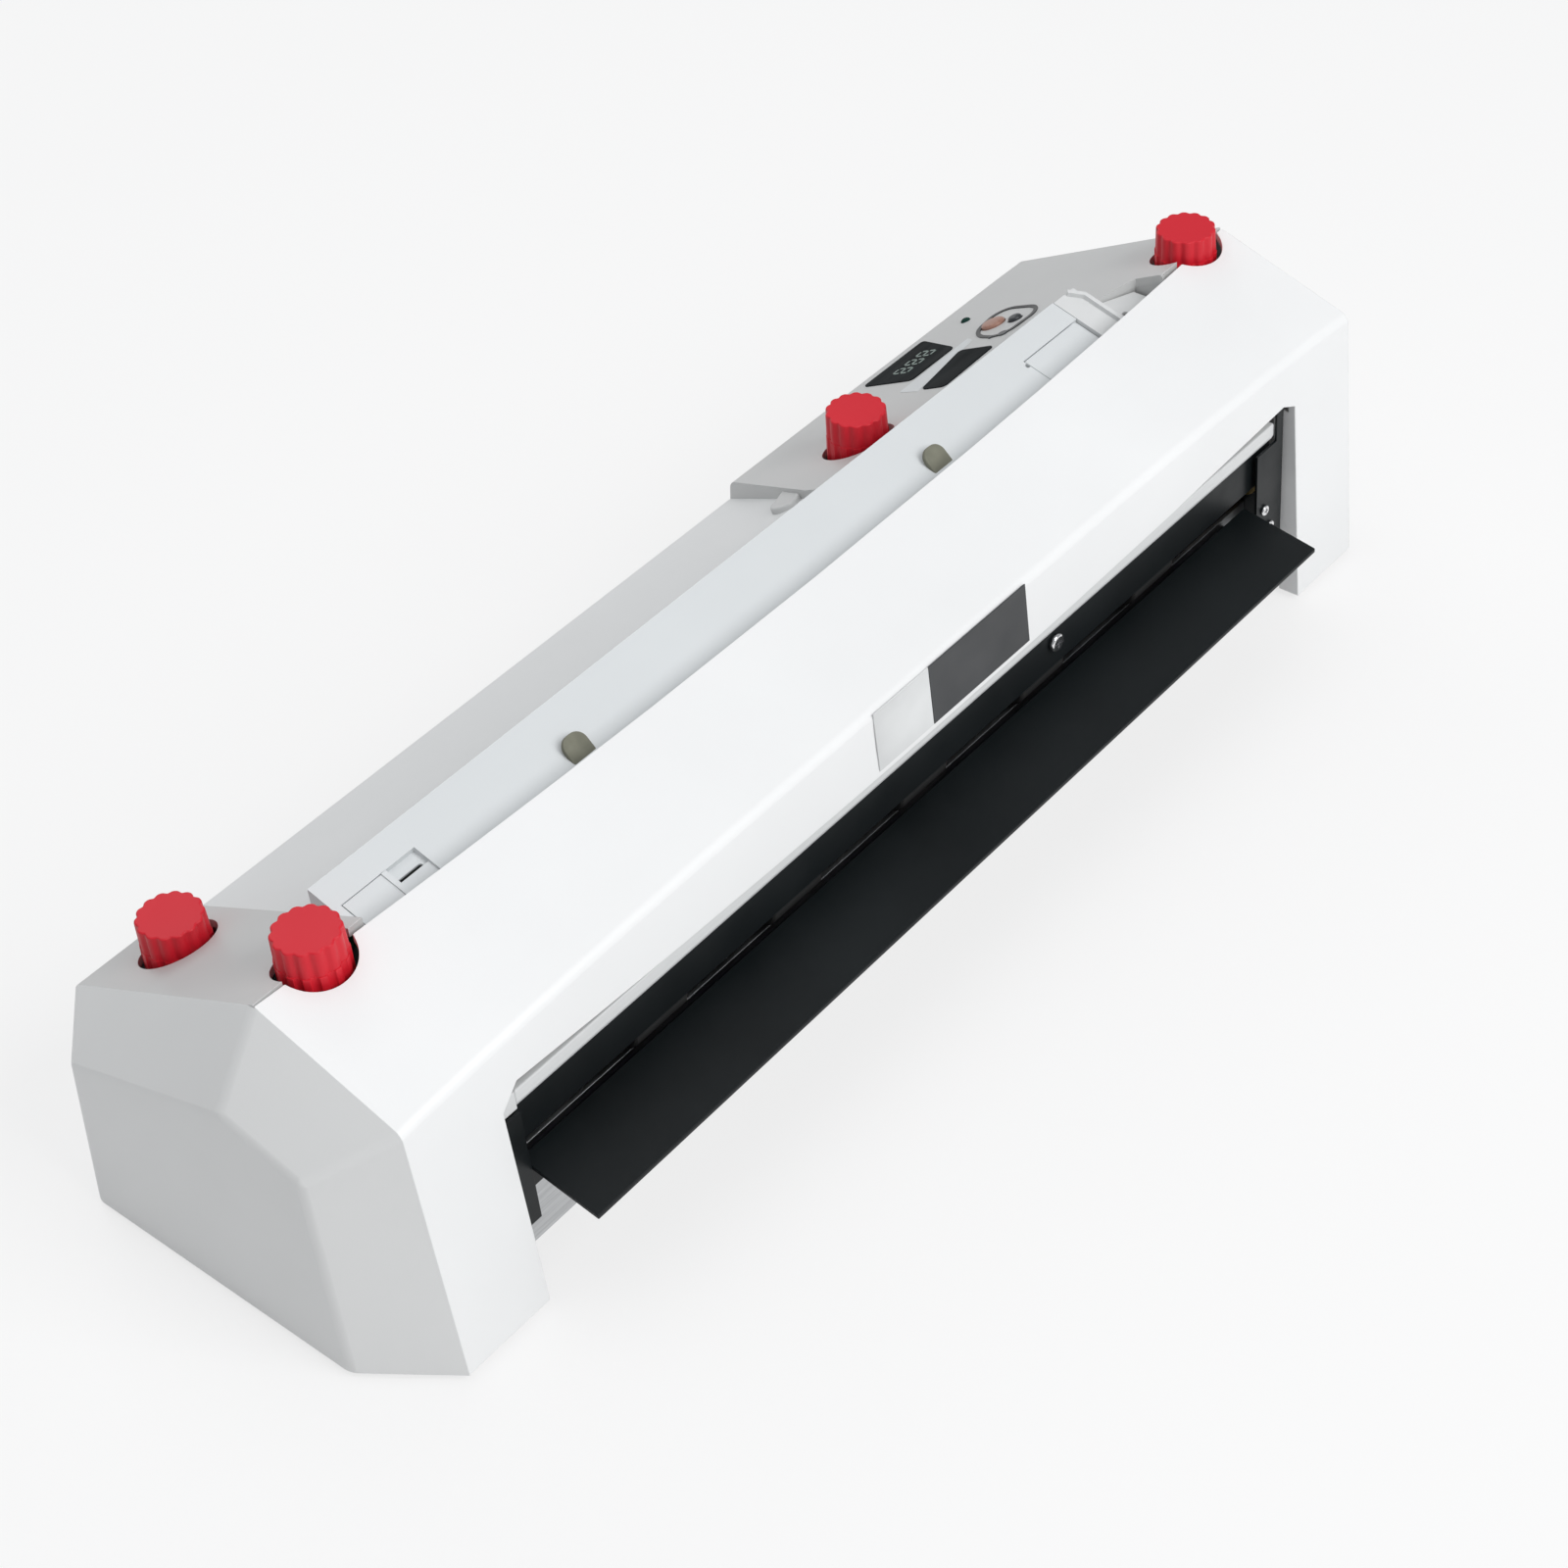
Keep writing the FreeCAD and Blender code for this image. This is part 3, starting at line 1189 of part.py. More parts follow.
def slide_guide(name, side):
    """Channel on a side frame in which one end of the carrier slides."""
    gauge, play = size("carrier_sheet"), size("guide_face_gap")
    top = -(cut_line - blade - gauge)
    end = size("carrier_length") / 2 + size("guide_side_gap")
    inner = size("carrier_length") / 2 - size("guide_grip")
    outer = size("frame_inner")
    start = inner if side > 0 else -outer
    near, far = -size("guide_block_front"), size("guide_block_back")
    low, high = top - size("guide_block_below"), top + size("guide_block_above")
    bulk = prism(f"{name}_block", "YZ_Plane", [
        (near, low), (far, low), (far, high), (near, high)], start, outer - inner)
    slot_start = inner - 1 if side > 0 else -end
    slot = prism(f"{name}_slot", "YZ_Plane", [
        (near - 1, top - gauge - play), (far + 1, top - gauge - play),
        (far + 1, top + play), (near - 1, top + play)], slot_start, end - inner + 1)
    return on_path(cut(name, bulk, slot))


def yokes():
    """Two plates behind the carrier with the windows that the eccentrics turn in."""
    middle = size("crank_depth") + size("crank_throw")
    half_window = size("eccentric_radius") + size("yoke_play")
    tall = size("eccentric_radius") + size("crank_throw") + size("yoke_play") * 0.6
    rim = size("yoke_wall")
    edge = middle + half_window + rim
    reach = tall + rim * 0.85
    pieces = []
    for side in (-1, 1):
        start = size("yoke_place") * side - size("yoke_sheet") / 2
        label = "left" if side < 0 else "right"
        plate = prism(f"{label}_yoke_plate", "YZ_Plane", [
            (carrier_back, -cut_line - reach), (edge, -cut_line - reach),
            (edge, -cut_line + reach), (carrier_back, -cut_line + reach)],
            start, size("yoke_sheet"))
        window = prism(f"{label}_yoke_window", "YZ_Plane", [
            (middle - half_window, -cut_line - tall), (middle + half_window, -cut_line - tall),
            (middle + half_window, -cut_line + tall), (middle - half_window, -cut_line + tall)],
            start - 1, size("yoke_sheet") + 2)
        pieces.append(on_path(cut(f"{label}_yoke", plate, window)))
    return pieces


def eccentrics():
    """Round eccentrics on the crank shaft, at the back of their throw at rest."""
    pieces = []
    for side in (-1, 1):
        label = "left" if side < 0 else "right"
        body = new_body(f"{label}_eccentric")
        sketch = new_sketch(body, f"{label}_eccentric_disc", "YZ_Plane",
                            size("yoke_place") * side - size("yoke_sheet") / 2 - 1)
        circle(sketch, size("crank_throw"), 0, size("eccentric_radius"))
        circle(sketch, 0, 0, size("shaft_radius"))
        pad(body, sketch, size("yoke_sheet") + 2)
        pieces.append(place(body, 0, *crank_axis, (1, 0, 0), path_turn - 90))
    return pieces


def idler_studs():
    pieces = []
    for label, axis in (("feed", feed_idler_axis), ("exit", exit_idler_axis)):
        stud = turned(f"{label}_idler_stud", [
            (frame_outer, 0), (frame_outer, small_radius), (gear_end + 0.3, small_radius),
            (gear_end + 0.3, small_radius + 2), (gear_end + 1.5, small_radius + 2),
            (gear_end + 1.5, 0)])
        pieces.append(place(stud, 0, *axis))
    return group("idler_studs", *pieces)


# ---------------------------------------------------------------- console


def on_console(body):
    """Set a body drawn with Y down the console's slope and Z off its face on the console."""
    return place(body, 0, ridge_y, ridge_z, (1, 0, 0), -console_tilt)


KEYS = ("start_key", "stop_key")


def display_corners(grow):
    """Outline of the display window, whose far side is the longer one."""
    left, near, far = size("display_left"), size("display_near"), size("display_far")
    return [(left - grow, near - grow), (size("display_near_right") + grow, near - grow),
            (size("display_far_right") + grow, far + grow), (left - grow, far + grow)]


def second_corners(grow):
    """Outline of the second window, which widens to the right."""
    left, right = size("second_left"), size("second_right")
    return [(left - grow, size("second_near_left") - grow),
            (right + grow, size("second_near_right") - grow),
            (right + grow, size("second_far_right") + grow),
            (left - grow, size("second_far_left") + grow)]


WINDOWS = {"display": display_corners, "second": second_corners}


def round_spot(label):
    """Place along the machine, place down the console and radius of a key or the light."""
    return size(f"{label}_x"), size(f"{label}_station"), size(f"{label}_radius")


def console_openings():
    """Openings through the console for its windows, keys and light."""
    tools = []
    for label, corners in WINDOWS.items():
        tools.append(on_console(prism(
            f"{label}_opening", "XY_Plane", corners(size("window_clearance")), -wall * 2,
            wall * 4)))
    for label in (*KEYS, "led"):
        x, down, radius = round_spot(label)
        room = size("key_clearance") if label != "led" else clearance
        body = new_body(f"{label}_opening")
        sketch = new_sketch(body, f"{label}_round", "XY_Plane", -wall * 2)
        circle(sketch, x, down, radius + room)
        pad(body, sketch, wall * 4)
        tools.append(on_console(body))
    return tools


def window(label):
    """Dark window set flush in the console."""
    return on_console(prism(f"{label}_window", "XY_Plane", WINDOWS[label](dim(0)), -wall, wall))


def key(name):
    """Round key: domed cap and a stem that ends just over its switch."""
    x, down, radius = round_spot(name)
    proud, skirt, stem = size("key_proud"), size("key_skirt"), size("key_stem_radius")
    body = turned(name, [
        (0, -switch_top), (stem, -switch_top), (stem, -skirt), (radius, -skirt),
        (radius, proud - 0.5), (radius - 0.6, proud), (0, proud + 0.2)], "XZ_Plane", "V_Axis")
    drop = cosine(console_tilt) * down
    fall = sine(console_tilt) * down
    return place(body, x, ridge_y + drop, ridge_z - fall, (1, 0, 0), -console_tilt)


switch_top = size("key_travel") + size("switch_drop")


def bare_board():
    top = -size("board_depth")
    return on_console(prism("bare_board", "XY_Plane", rectangle(
        size("board_left"), size("board_right"), size("board_near"), size("board_far")),
        top - size("board_sheet"), size("board_sheet")))


def display_module():
    margin = size("module_margin")
    return on_console(prism("display_module", "XY_Plane", rectangle(
        size("display_left") - margin, size("display_near_right") + margin,
        size("display_near"), size("display_far")), -size("board_depth"),
        size("board_depth") - wall - size("module_gap")))


def key_switches():
    pieces = []
    reach = size("switch_half")
    for label in KEYS:
        x, down, _ = round_spot(label)
        pieces.append(on_console(prism(f"{label}_switch", "XY_Plane", rectangle(
            x - reach, x + reach, down - reach, down + reach), -size("board_depth"),
            size("board_depth") - switch_top - size("key_travel") - size("contact_gap"))))
    return pieces


def status_led():
    x, down, radius = round_spot("led")
    body = turned("status_led", [(0, -size("board_depth")), (radius, -size("board_depth")),
                                 (radius, 0.2), (radius * 0.6, 0.8), (0, 1.0)],
                  "XZ_Plane", "V_Axis")
    return place(body, x, ridge_y + cosine(console_tilt) * down,
                 ridge_z - sine(console_tilt) * down, (1, 0, 0), -console_tilt)


# ---------------------------------------------------------------- back wall and power

wall_tilt = derive("wall_tilt", bearing(rear_y - back_y, back_z - base_level))
fitting_z = size("inlet_height")
fitting_y = derive("fitting_y", rear_y - wall_slope * (fitting_z - base_level))


def on_wall(body, x):
    """Set a body drawn with Z out of the back wall and Y up it on the wall."""
    body.Placement = FreeCAD.Placement(
        FreeCAD.Vector(dim(x).value, fitting_y.value, fitting_z.value),
        FreeCAD.Rotation(FreeCAD.Vector(1, 0, 0), wall_tilt.value - 90))
    for name, value in (("x", dim(x)), ("y", fitting_y), ("z", fitting_z)):
        body.setExpression(f"Placement.Base.{name}", value.text)
    body.setExpression("Placement.Rotation.Angle", (wall_tilt - 90).text)
    return body


def wall_openings():
    """Openings in the back wall for the inlet and the switch, and its cooling slots."""
    tools = []
    for label in ("inlet", "switch"):
        room = size("fitting_gap")
        across, tall = size(f"{label}_length") / 2 + room, size(f"{label}_tall") / 2 + room
        tools.append(on_wall(prism(f"{label}_opening", "XY_Plane", rectangle(
            -across, across, -tall, tall), -wall * 2, wall * 4), size(f"{label}_x")))
    across, tall = size("slot_width") / 2, size("slot_height") / 2
    for number in range(COOLING_SLOTS):
        x = size("slot_pitch") * number - size("first_slot_x")
        tools.append(on_wall(prism(f"cooling_slot{number}", "XY_Plane", rectangle(
            -across, across, -tall, tall), -wall * 2, wall * 4), x))
    return tools


def inlet_shell():
    """Mains inlet: rim outside the wall, shroud with a socket for the plug behind it."""
    across, tall = size("inlet_length") / 2, size("inlet_tall") / 2
    rim = size("flange_rim")
    depth = size("inlet_depth")
    body = new_body("inlet_shell")
    shroud = new_sketch(body, "inlet_shroud", "XY_Plane", -depth)
    polygon(shroud, rectangle(-across, across, -tall, tall))
    pad(body, shroud, depth + rim)
    flange = new_sketch(body, "inlet_flange", "XY_Plane", 0)
    polygon(flange, rectangle(-across - rim, across + rim, -tall - rim, tall + rim))
    pad(body, flange, rim)
    socket = new_sketch(body, "inlet_socket", "XY_Plane", rim)
    shell, corner = size("inlet_shell"), size("socket_corner")
    right, top = across - shell, tall - shell
    polygon(socket, [(-right, -top), (right, -top), (right, tall - corner), (right - corner, top),
                     (corner - right, top), (-right, tall - corner)])
    pocket(body, socket, depth - shell)
    return on_wall(body, size("inlet_x"))


def inlet_pins():
    pieces = []
    for number, (x, up) in enumerate(((-7, -2), (0, 3), (7, -2))):
        pieces.append(on_wall(prism(f"inlet_pin{number}", "XY_Plane", rectangle(
            dim(x - 1), dim(x + 1), dim(up - 2), dim(up + 2)),
            -size("inlet_depth") + size("flange_rim") * 2, size("pin_length")), size("inlet_x")))
    return pieces


def switch_bezel():
    """Frame of the mains switch with a well for the rocker."""
    across, tall = size("switch_length") / 2, size("switch_tall") / 2
    rim = size("flange_rim")
    body = new_body("switch_bezel")
    case = new_sketch(body, "switch_case", "XY_Plane", -size("switch_depth"))
    polygon(case, rectangle(-across, across, -tall, tall))
    pad(body, case, size("switch_depth") + rim)
    flange = new_sketch(body, "switch_flange", "XY_Plane", 0)
    polygon(flange, rectangle(-across - rim, across + rim, -tall - rim, tall + rim))
    pad(body, flange, rim)
    well = new_sketch(body, "switch_well", "XY_Plane", rim)
    edge = size("bezel_wall")
    polygon(well, rectangle(edge - across, across - edge, edge - tall, tall - edge))
    pocket(body, well, rim + size("bezel_well"))
    reach = tall - edge - size("rocker_side_gap") + size("trunnion_reach") + size("shaft_end_gap")
    bearing_hole = new_sketch(body, "switch_bearing", "XZ_Plane", -reach)
    circle(bearing_hole, 0, -size("rocker_pivot_depth"),
           size("trunnion_radius") + size("bore_clearance"))
    pocket(body, bearing_hole, reach * 2, forward=True)
    return on_wall(body, size("switch_x"))


def rocker():
    """Rocker of the mains switch, pressed in at one end at rest, on a pivot along Y."""
    across = size("switch_length") / 2 - size("bezel_wall") - size("rocker_end_gap")
    tall = size("switch_tall") / 2 - size("bezel_wall") - size("rocker_side_gap")
    body = prism("switch_rocker", "XZ_Plane", [
        (-across, 0.2), (-across + 0.4, 3.1), (0, 1.8), (across - 0.4, 3.1), (across, 0.2),
        (3, -4.6), (-3, -4.6)], -tall, tall * 2)
    reach = tall + size("trunnion_reach")
    pin = new_sketch(body, "switch_trunnion", "XZ_Plane", -reach)
    circle(pin, 0, -size("rocker_pivot_depth"), size("trunnion_radius"))
    pad(body, pin, reach * 2)
    outline = [item for item in body.Group if item.Name == "switch_rocker_outline"][0]
    outline.AttachmentOffset = FreeCAD.Placement(
        FreeCAD.Vector(0, -size("rocker_pivot_depth").value, -tall.value),
        FreeCAD.Rotation(FreeCAD.Vector(0, 0, 1), size("rocker_tilt").value))
    outline.setExpression("AttachmentOffset.Base.y", (-size("rocker_pivot_depth")).text)
    outline.setExpression("AttachmentOffset.Rotation.Angle", size("rocker_tilt").text)
    return on_wall(body, size("switch_x"))


def power_parts():
    """Supply board on stand-offs with its transformer and capacitors."""
    low = base_level + size("pan_sheet")
    left, near = -size("supply_left"), rear_y - size("supply_setback")
    length, width = size("supply_length"), size("supply_width")
    rise, inset = size("post_height"), size("post_inset")
    board = block("power_board", left, near, low + rise, length, width, size("board_sheet"))
    deck = low + rise + size("board_sheet")
    corners = [(x, y) for x in (left + inset, left + length - inset)
               for y in (near + inset, near + width - inset)]
    posts = [drum(f"post{number}", size("post_radius"), rise, x, y, low)
             for number, (x, y) in enumerate(corners)]
    transformer = block("transformer", left + inset * 2, near + 3, deck,
                        size("transformer_length"), size("transformer_width"),
                        size("transformer_height"))
    cans = [drum(f"can{number}", size("can_radius"), size("can_height"),
                 left + size("first_can") + size("can_pitch") * number, near + width / 2, deck)
            for number in range(SUPPLY_CANS)]
    return [board, transformer, *posts, *cans]


# ---------------------------------------------------------------- assembly

node(front_cover())
cover_front = NODES[0]
front_holes = [drum(f"front_cover_{label}_hole", size("knob_hole_radius"), ridge_z,
                    *KNOBS[label], back_z) for label in ("left_front", "right_front")]
cover_front.Label = "front_cover_shell"
NODES[0] = cut("front_cover", cover_front, *front_holes)
node(rear_cover())
node(end_cap("left_end_cap", -1))
node(end_cap("right_end_cap", 1))
node(base_pan())
node(feet())

bore_of = {label: radius + clearance + size("bush_wall") for label, _, radius in SHAFTS}
shaft_holes = [(axis, bore_of[label]) for label, axis, _ in SHAFTS]
nose_hole = size("nose_radius") + size("nose_hole_gap")
node(side_frame("left_side_frame", -1, shaft_holes + [(cut_motor_axis, nose_hole)]))
node(side_frame("right_side_frame", 1, shaft_holes + [(feed_motor_axis, nose_hole)]))
node(bushes())
rod_places = [(-size("front_rod_reach"), size("front_rod_height")),
              (size("rear_rod_reach"), size("rear_rod_height"))]
node(group("frame_bars", cross_bar(), blade_beam(), *[
    rod(f"tie_rod{number}", size("rod_radius"), -size("frame_inner"), size("frame_inner") * 2, y, z)
    for number, (y, z) in enumerate(rod_places)]))

node(stepped_shaft("feed_shaft", size("shaft_radius"), feed_axis, gear_end, frame_outer + 2))
node(sleeves("feed_rollers", size("feed_radius"), size("shaft_radius"), feed_axis, SLEEVES,
             size("sleeve_length"), size("sleeve_pitch")))
node(stepped_shaft("pinch_shaft", size("small_shaft_radius"), pinch_axis, frame_outer + 1,
                   frame_outer + 1))
node(sleeves("pinch_rollers", size("pinch_radius"), size("small_shaft_radius"), pinch_axis,
             SLEEVES, size("sleeve_length"), size("sleeve_pitch")))
node(stepped_shaft("lower_slitter_shaft", size("shaft_radius"), lower_axis, gear_end, frame_outer + 2))
node(knives("lower_slitter_knives", lower_axis, 1))
node(stepped_shaft("upper_slitter_shaft", size("shaft_radius"), upper_axis, gear_end, frame_outer + 2))
node(knives("upper_slitter_knives", upper_axis, -1))
node(stepped_shaft("exit_shaft", size("small_shaft_radius"), exit_axis, gear_end, frame_outer + 2))
node(sleeves("exit_rollers", size("exit_radius"), size("small_shaft_radius"), exit_axis,
             SLEEVES, size("exit_sleeve_length"), size("card_width")))
node(fuse("crank_shaft", stepped_shaft("crank_journal", size("shaft_radius"), crank_axis,
                                        frame_outer + 1, gear_end), *eccentrics()))

lower_turn = dim(0)
upper_turn = derive("upper_turn", mesh_turn(TEETH["slitter"], lower_turn, TEETH["slitter"],
                                            lower_axis, upper_axis))
idler_turn = derive("idler_turn", mesh_turn(TEETH["slitter"], lower_turn, TEETH["feed_idler"],
                                            lower_axis, feed_idler_axis))
feed_turn = derive("feed_turn", mesh_turn(TEETH["feed_idler"], idler_turn, TEETH["feed"],
                                          feed_idler_axis, feed_axis))
exit_idler_turn = derive("exit_idler_turn", mesh_turn(
    TEETH["slitter"], lower_turn, TEETH["exit_idler"], lower_axis, exit_idler_axis))
exit_turn = derive("exit_turn", mesh_turn(TEETH["exit_idler"], exit_idler_turn, TEETH["exit"],
                                          exit_idler_axis, exit_axis))
feed_pinion_turn = derive("feed_pinion_turn", mesh_turn(
    TEETH["feed_idler"], idler_turn, TEETH["pinion"], feed_idler_axis, feed_motor_axis))
cut_pinion_turn = derive("cut_pinion_turn", mesh_turn(
    TEETH["crank"], dim(0), TEETH["pinion"], crank_axis, cut_motor_axis))

shaft_radius = size("shaft_radius")
small_radius = size("small_shaft_radius")
node(gear("lower_slitter_gear", TEETH["slitter"], shaft_radius, lower_axis, lower_turn))
node(gear("upper_slitter_gear", TEETH["slitter"], shaft_radius, upper_axis, upper_turn))
node(gear("feed_idler_gear", TEETH["feed_idler"], small_radius + clearance, feed_idler_axis, idler_turn))
node(gear("feed_gear", TEETH["feed"], shaft_radius, feed_axis, feed_turn))
node(gear("exit_idler_gear", TEETH["exit_idler"], small_radius + clearance, exit_idler_axis,
          exit_idler_turn))
node(gear("exit_gear", TEETH["exit"], small_radius, exit_axis, exit_turn))
node(pinion("feed_motor_pinion", feed_motor_axis, feed_pinion_turn, 1))
left_gear_start = -gear_end
node(gear("crank_gear", TEETH["crank"], shaft_radius, crank_axis, dim(0), left_gear_start))
node(pinion("cut_motor_pinion", cut_motor_axis, cut_pinion_turn, -1))
node(motor("feed_motor", feed_motor_axis, 1))
node(motor("cut_motor", cut_motor_axis, -1))

node(idler_studs())
node(infeed_tray())
node(group("friction_pads", friction_pad("left_friction_pad", -size("pad_left_x")),
           friction_pad("right_friction_pad", size("pad_right_x"))))
node(left_guide())
node(cover_plate())
node(side_fence())
for label in KNOBS:
    node(fuse(f"{label}_knob", knob_cap(label), spindle(label)))
node(group("knob_brackets", *[knob_bracket(label) for label in ("left_rear", "left_front",
                                                                "right_front")]))
node(exit_bar())
node(exit_guard())
node(guard_screw())
node(exit_apron())
node(fixed_blade())
node(moving_blade())
node(blade_carrier())
node(group("slide_guides", slide_guide("left_slide_guide", -1), slide_guide("right_slide_guide", 1)))
node(group("console_windows", *[window(label) for label in WINDOWS]))
for label in KEYS:
    node(key(label))
node(group("control_board", bare_board(), display_module(), *key_switches()))
node(status_led())
node(group("power_inlet", inlet_shell(), *inlet_pins()))
node(switch_bezel())
node(rocker())
node(group("power_supply", *power_parts()))

doc.recompute()
os.makedirs("parts", exist_ok=True)
for item in doc.Objects:
    if "Invalid" in item.State or "Error" in item.State:
        raise RuntimeError(f"{item.Label}: {item.State}")
for item in NODES:
    if item.Shape.isNull() or not item.Shape.isValid():
        raise RuntimeError(f"{item.Label}: bad shape")
    item.Shape.exportStep(f"parts/{item.Label}.step")
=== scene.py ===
"""Dressed visual model of a desktop business card cutter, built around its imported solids.

A size that is multiplied by MM is kept in metres, and any other size of a piece in
millimetres. The machine's front looks along -y, its right-hand end along +x, and z is up.
"""

import json
import logging
import math
from dataclasses import dataclass
from enum import Enum
from typing import Callable, ClassVar, Optional, Sequence

import bmesh
import bpy
from mathutils import Matrix, Vector

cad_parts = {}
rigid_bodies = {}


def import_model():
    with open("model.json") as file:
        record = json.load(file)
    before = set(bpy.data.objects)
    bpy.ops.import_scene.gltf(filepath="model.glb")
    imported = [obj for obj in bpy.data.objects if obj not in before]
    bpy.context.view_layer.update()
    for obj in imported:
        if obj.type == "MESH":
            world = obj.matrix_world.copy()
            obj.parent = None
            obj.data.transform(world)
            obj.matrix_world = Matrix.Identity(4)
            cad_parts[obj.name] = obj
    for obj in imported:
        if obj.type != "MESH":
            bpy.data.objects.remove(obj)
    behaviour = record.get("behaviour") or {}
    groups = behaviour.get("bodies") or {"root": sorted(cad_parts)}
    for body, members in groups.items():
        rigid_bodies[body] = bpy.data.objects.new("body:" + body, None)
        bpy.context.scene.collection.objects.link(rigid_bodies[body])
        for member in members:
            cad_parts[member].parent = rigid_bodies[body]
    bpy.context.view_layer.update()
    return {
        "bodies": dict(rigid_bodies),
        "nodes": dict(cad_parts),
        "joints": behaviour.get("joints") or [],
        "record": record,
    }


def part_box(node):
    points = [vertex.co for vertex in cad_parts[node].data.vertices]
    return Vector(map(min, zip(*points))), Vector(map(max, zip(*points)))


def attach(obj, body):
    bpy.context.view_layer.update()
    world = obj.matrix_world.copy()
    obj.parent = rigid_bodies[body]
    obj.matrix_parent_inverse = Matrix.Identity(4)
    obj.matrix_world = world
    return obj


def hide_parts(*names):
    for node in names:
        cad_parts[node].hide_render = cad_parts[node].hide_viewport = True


Colour = tuple[float, float, float]
Place = tuple[float, float, float]
Pair = tuple[float, float]
Corners = tuple[Pair, ...]
Noise = tuple[float, float]  # features in a metre, and octaves of finer noise
Relief = tuple[float, float]  # strength of a bump, and its height in metres
Piece = bpy.types.Object
Face = bmesh.types.BMFace
Socket = bpy.types.NodeSocket
PointTest = Callable[[Vector], bool]
PairTest = Callable[[Vector, Vector], bool]
CreaseTest = Callable[[Vector, Face, Face], bool]

MM = 0.001
HAIR = MM / 10  # how near two places count as one when a mesh is selected by place
LOG = logging.getLogger("card_cutter")


def mm(*values: float) -> tuple[float, ...]:
    """Millimetres given as metres.

    Args:
        values: lengths in millimetres.

    Returns:
        The same lengths in metres.
    """
    return tuple(value * MM for value in values)


class Miter(Enum):
    """How a rounding goes round an outer corner."""

    ARC = "MITER_ARC"
    SHARP = "MITER_SHARP"


class Part(Enum):
    """What is selected of a mesh in edit mode."""

    POINT = "VERT"
    EDGE = "EDGE"
    FACE = "FACE"


class Bench:
    """The hand tools that every piece is made with."""

    MERGE: ClassVar[float] = 1e-6  # points nearer than this become one
    FLAT: ClassVar[float] = math.radians(0.6)  # faces that turn less than this become one
    ROUND: ClassVar[float] = 0.5  # profile of a round edge
    FINE: ClassVar[int] = 2  # steps in a small rounding
    FACING: ClassVar[float] = 0.9  # least part of a normal along an axis that it faces
    UP: ClassVar[Place] = (0.0, 0.0, 1.0)

    @staticmethod
    def clear() -> None:
        """Deselects every object."""
        bpy.ops.object.select_all(action="DESELECT")

    @staticmethod
    def only(piece: Piece) -> None:
        """Selects one piece and nothing else.

        Args:
            piece: the piece to select and to make the active one.
        """
        Bench.clear()
        piece.hide_set(False)
        piece.select_set(True)
        bpy.context.view_layer.objects.active = piece

    @staticmethod
    def open(piece: Piece, whole: bool = False) -> None:
        """Enters edit mode on one piece, in face mode.

        Args:
            piece: the piece to open.
            whole: whether all of it is selected, and not nothing.
        """
        Bench.only(piece)
        bpy.ops.object.mode_set(mode="EDIT")
        bpy.ops.mesh.select_all(action="DESELECT")
        bpy.ops.mesh.select_mode(type="FACE")
        if whole:
            bpy.ops.mesh.select_all(action="SELECT")

    @staticmethod
    def close() -> None:
        """Goes back to object mode."""
        bpy.ops.object.mode_set(mode="OBJECT")

    @staticmethod
    def pick(piece: Piece, part: Part, test: Callable[..., bool]) -> int:
        """Selects what passes a test of the piece in edit mode, and nothing else.

        Args:
            piece: the piece that is open in edit mode.
            part: whether points, edges or faces are selected.
            test: takes a point, edge or face of the mesh, and says whether to select it.

        Returns:
            How many were selected.
        """
        bpy.ops.mesh.select_mode(type=part.value)
        mesh = bmesh.from_edit_mesh(piece.data)
        members = {Part.POINT: mesh.verts, Part.EDGE: mesh.edges, Part.FACE: mesh.faces}[part]
        picked = 0
        for member in members:
            chosen = test(member)
            member.select_set(chosen)
            picked += int(chosen)
        if part is Part.FACE:
            mesh.select_flush_mode()
        bmesh.update_edit_mesh(piece.data)
        return picked

    @staticmethod
    def pick_points(piece: Piece, test: PointTest) -> int:
        """Selects points by a test of their place, and says how many."""
        return Bench.pick(piece, Part.POINT, lambda point: test(point.co))

    @staticmethod
    def pick_edges(piece: Piece, test: PairTest) -> int:
        """Selects edges by a test of the places of their two ends, and says how many."""
        return Bench.pick(piece, Part.EDGE, lambda edge: test(edge.verts[0].co, edge.verts[1].co))

    @staticmethod
    def pick_faces(piece: Piece, test: PairTest) -> int:
        """Selects faces by a test of their centre and normal, and says how many."""
        return Bench.pick(
            piece, Part.FACE, lambda face: test(face.calc_center_median(), face.normal))

    @staticmethod
    def pick_creases(piece: Piece, test: CreaseTest, least: float) -> int:
        """Selects edges of the piece in edit mode by their middle and their two faces.

        Args:
            piece: the piece that is open in edit mode.
            test: takes an edge's middle and its two faces, and says whether to select it.
            least: smallest angle in degrees between the two faces.

        Returns:
            How many edges were selected.
        """
        def sharp(edge: bmesh.types.BMEdge) -> bool:
            """Says whether an edge is a crease that passes the test.

            Args:
                edge: the edge.

            Returns:
                Whether its two faces meet at that angle or more, and it passes.
            """
            if len(edge.link_faces) != 2 or edge.calc_face_angle(0.0) < math.radians(least):
                return False
            middle = (edge.verts[0].co + edge.verts[1].co) / 2
            return test(middle, edge.link_faces[0], edge.link_faces[1])

        return Bench.pick(piece, Part.EDGE, sharp)

    @staticmethod
    def name(piece: Piece, name: str) -> Piece:
        """Gives a piece and its mesh the same name.

        Args:
            piece: the piece to name.
            name: its name.

        Returns:
            The piece.
        """
        piece.name = name
        piece.data.name = name
        return piece

    @staticmethod
    def settle(piece: Piece) -> Piece:
        """Moves a piece's place, turn and scale into its mesh.

        Args:
            piece: the piece to settle.

        Returns:
            The piece.
        """
        Bench.only(piece)
        bpy.ops.object.transform_apply(location=True, rotation=True, scale=True)
        return piece

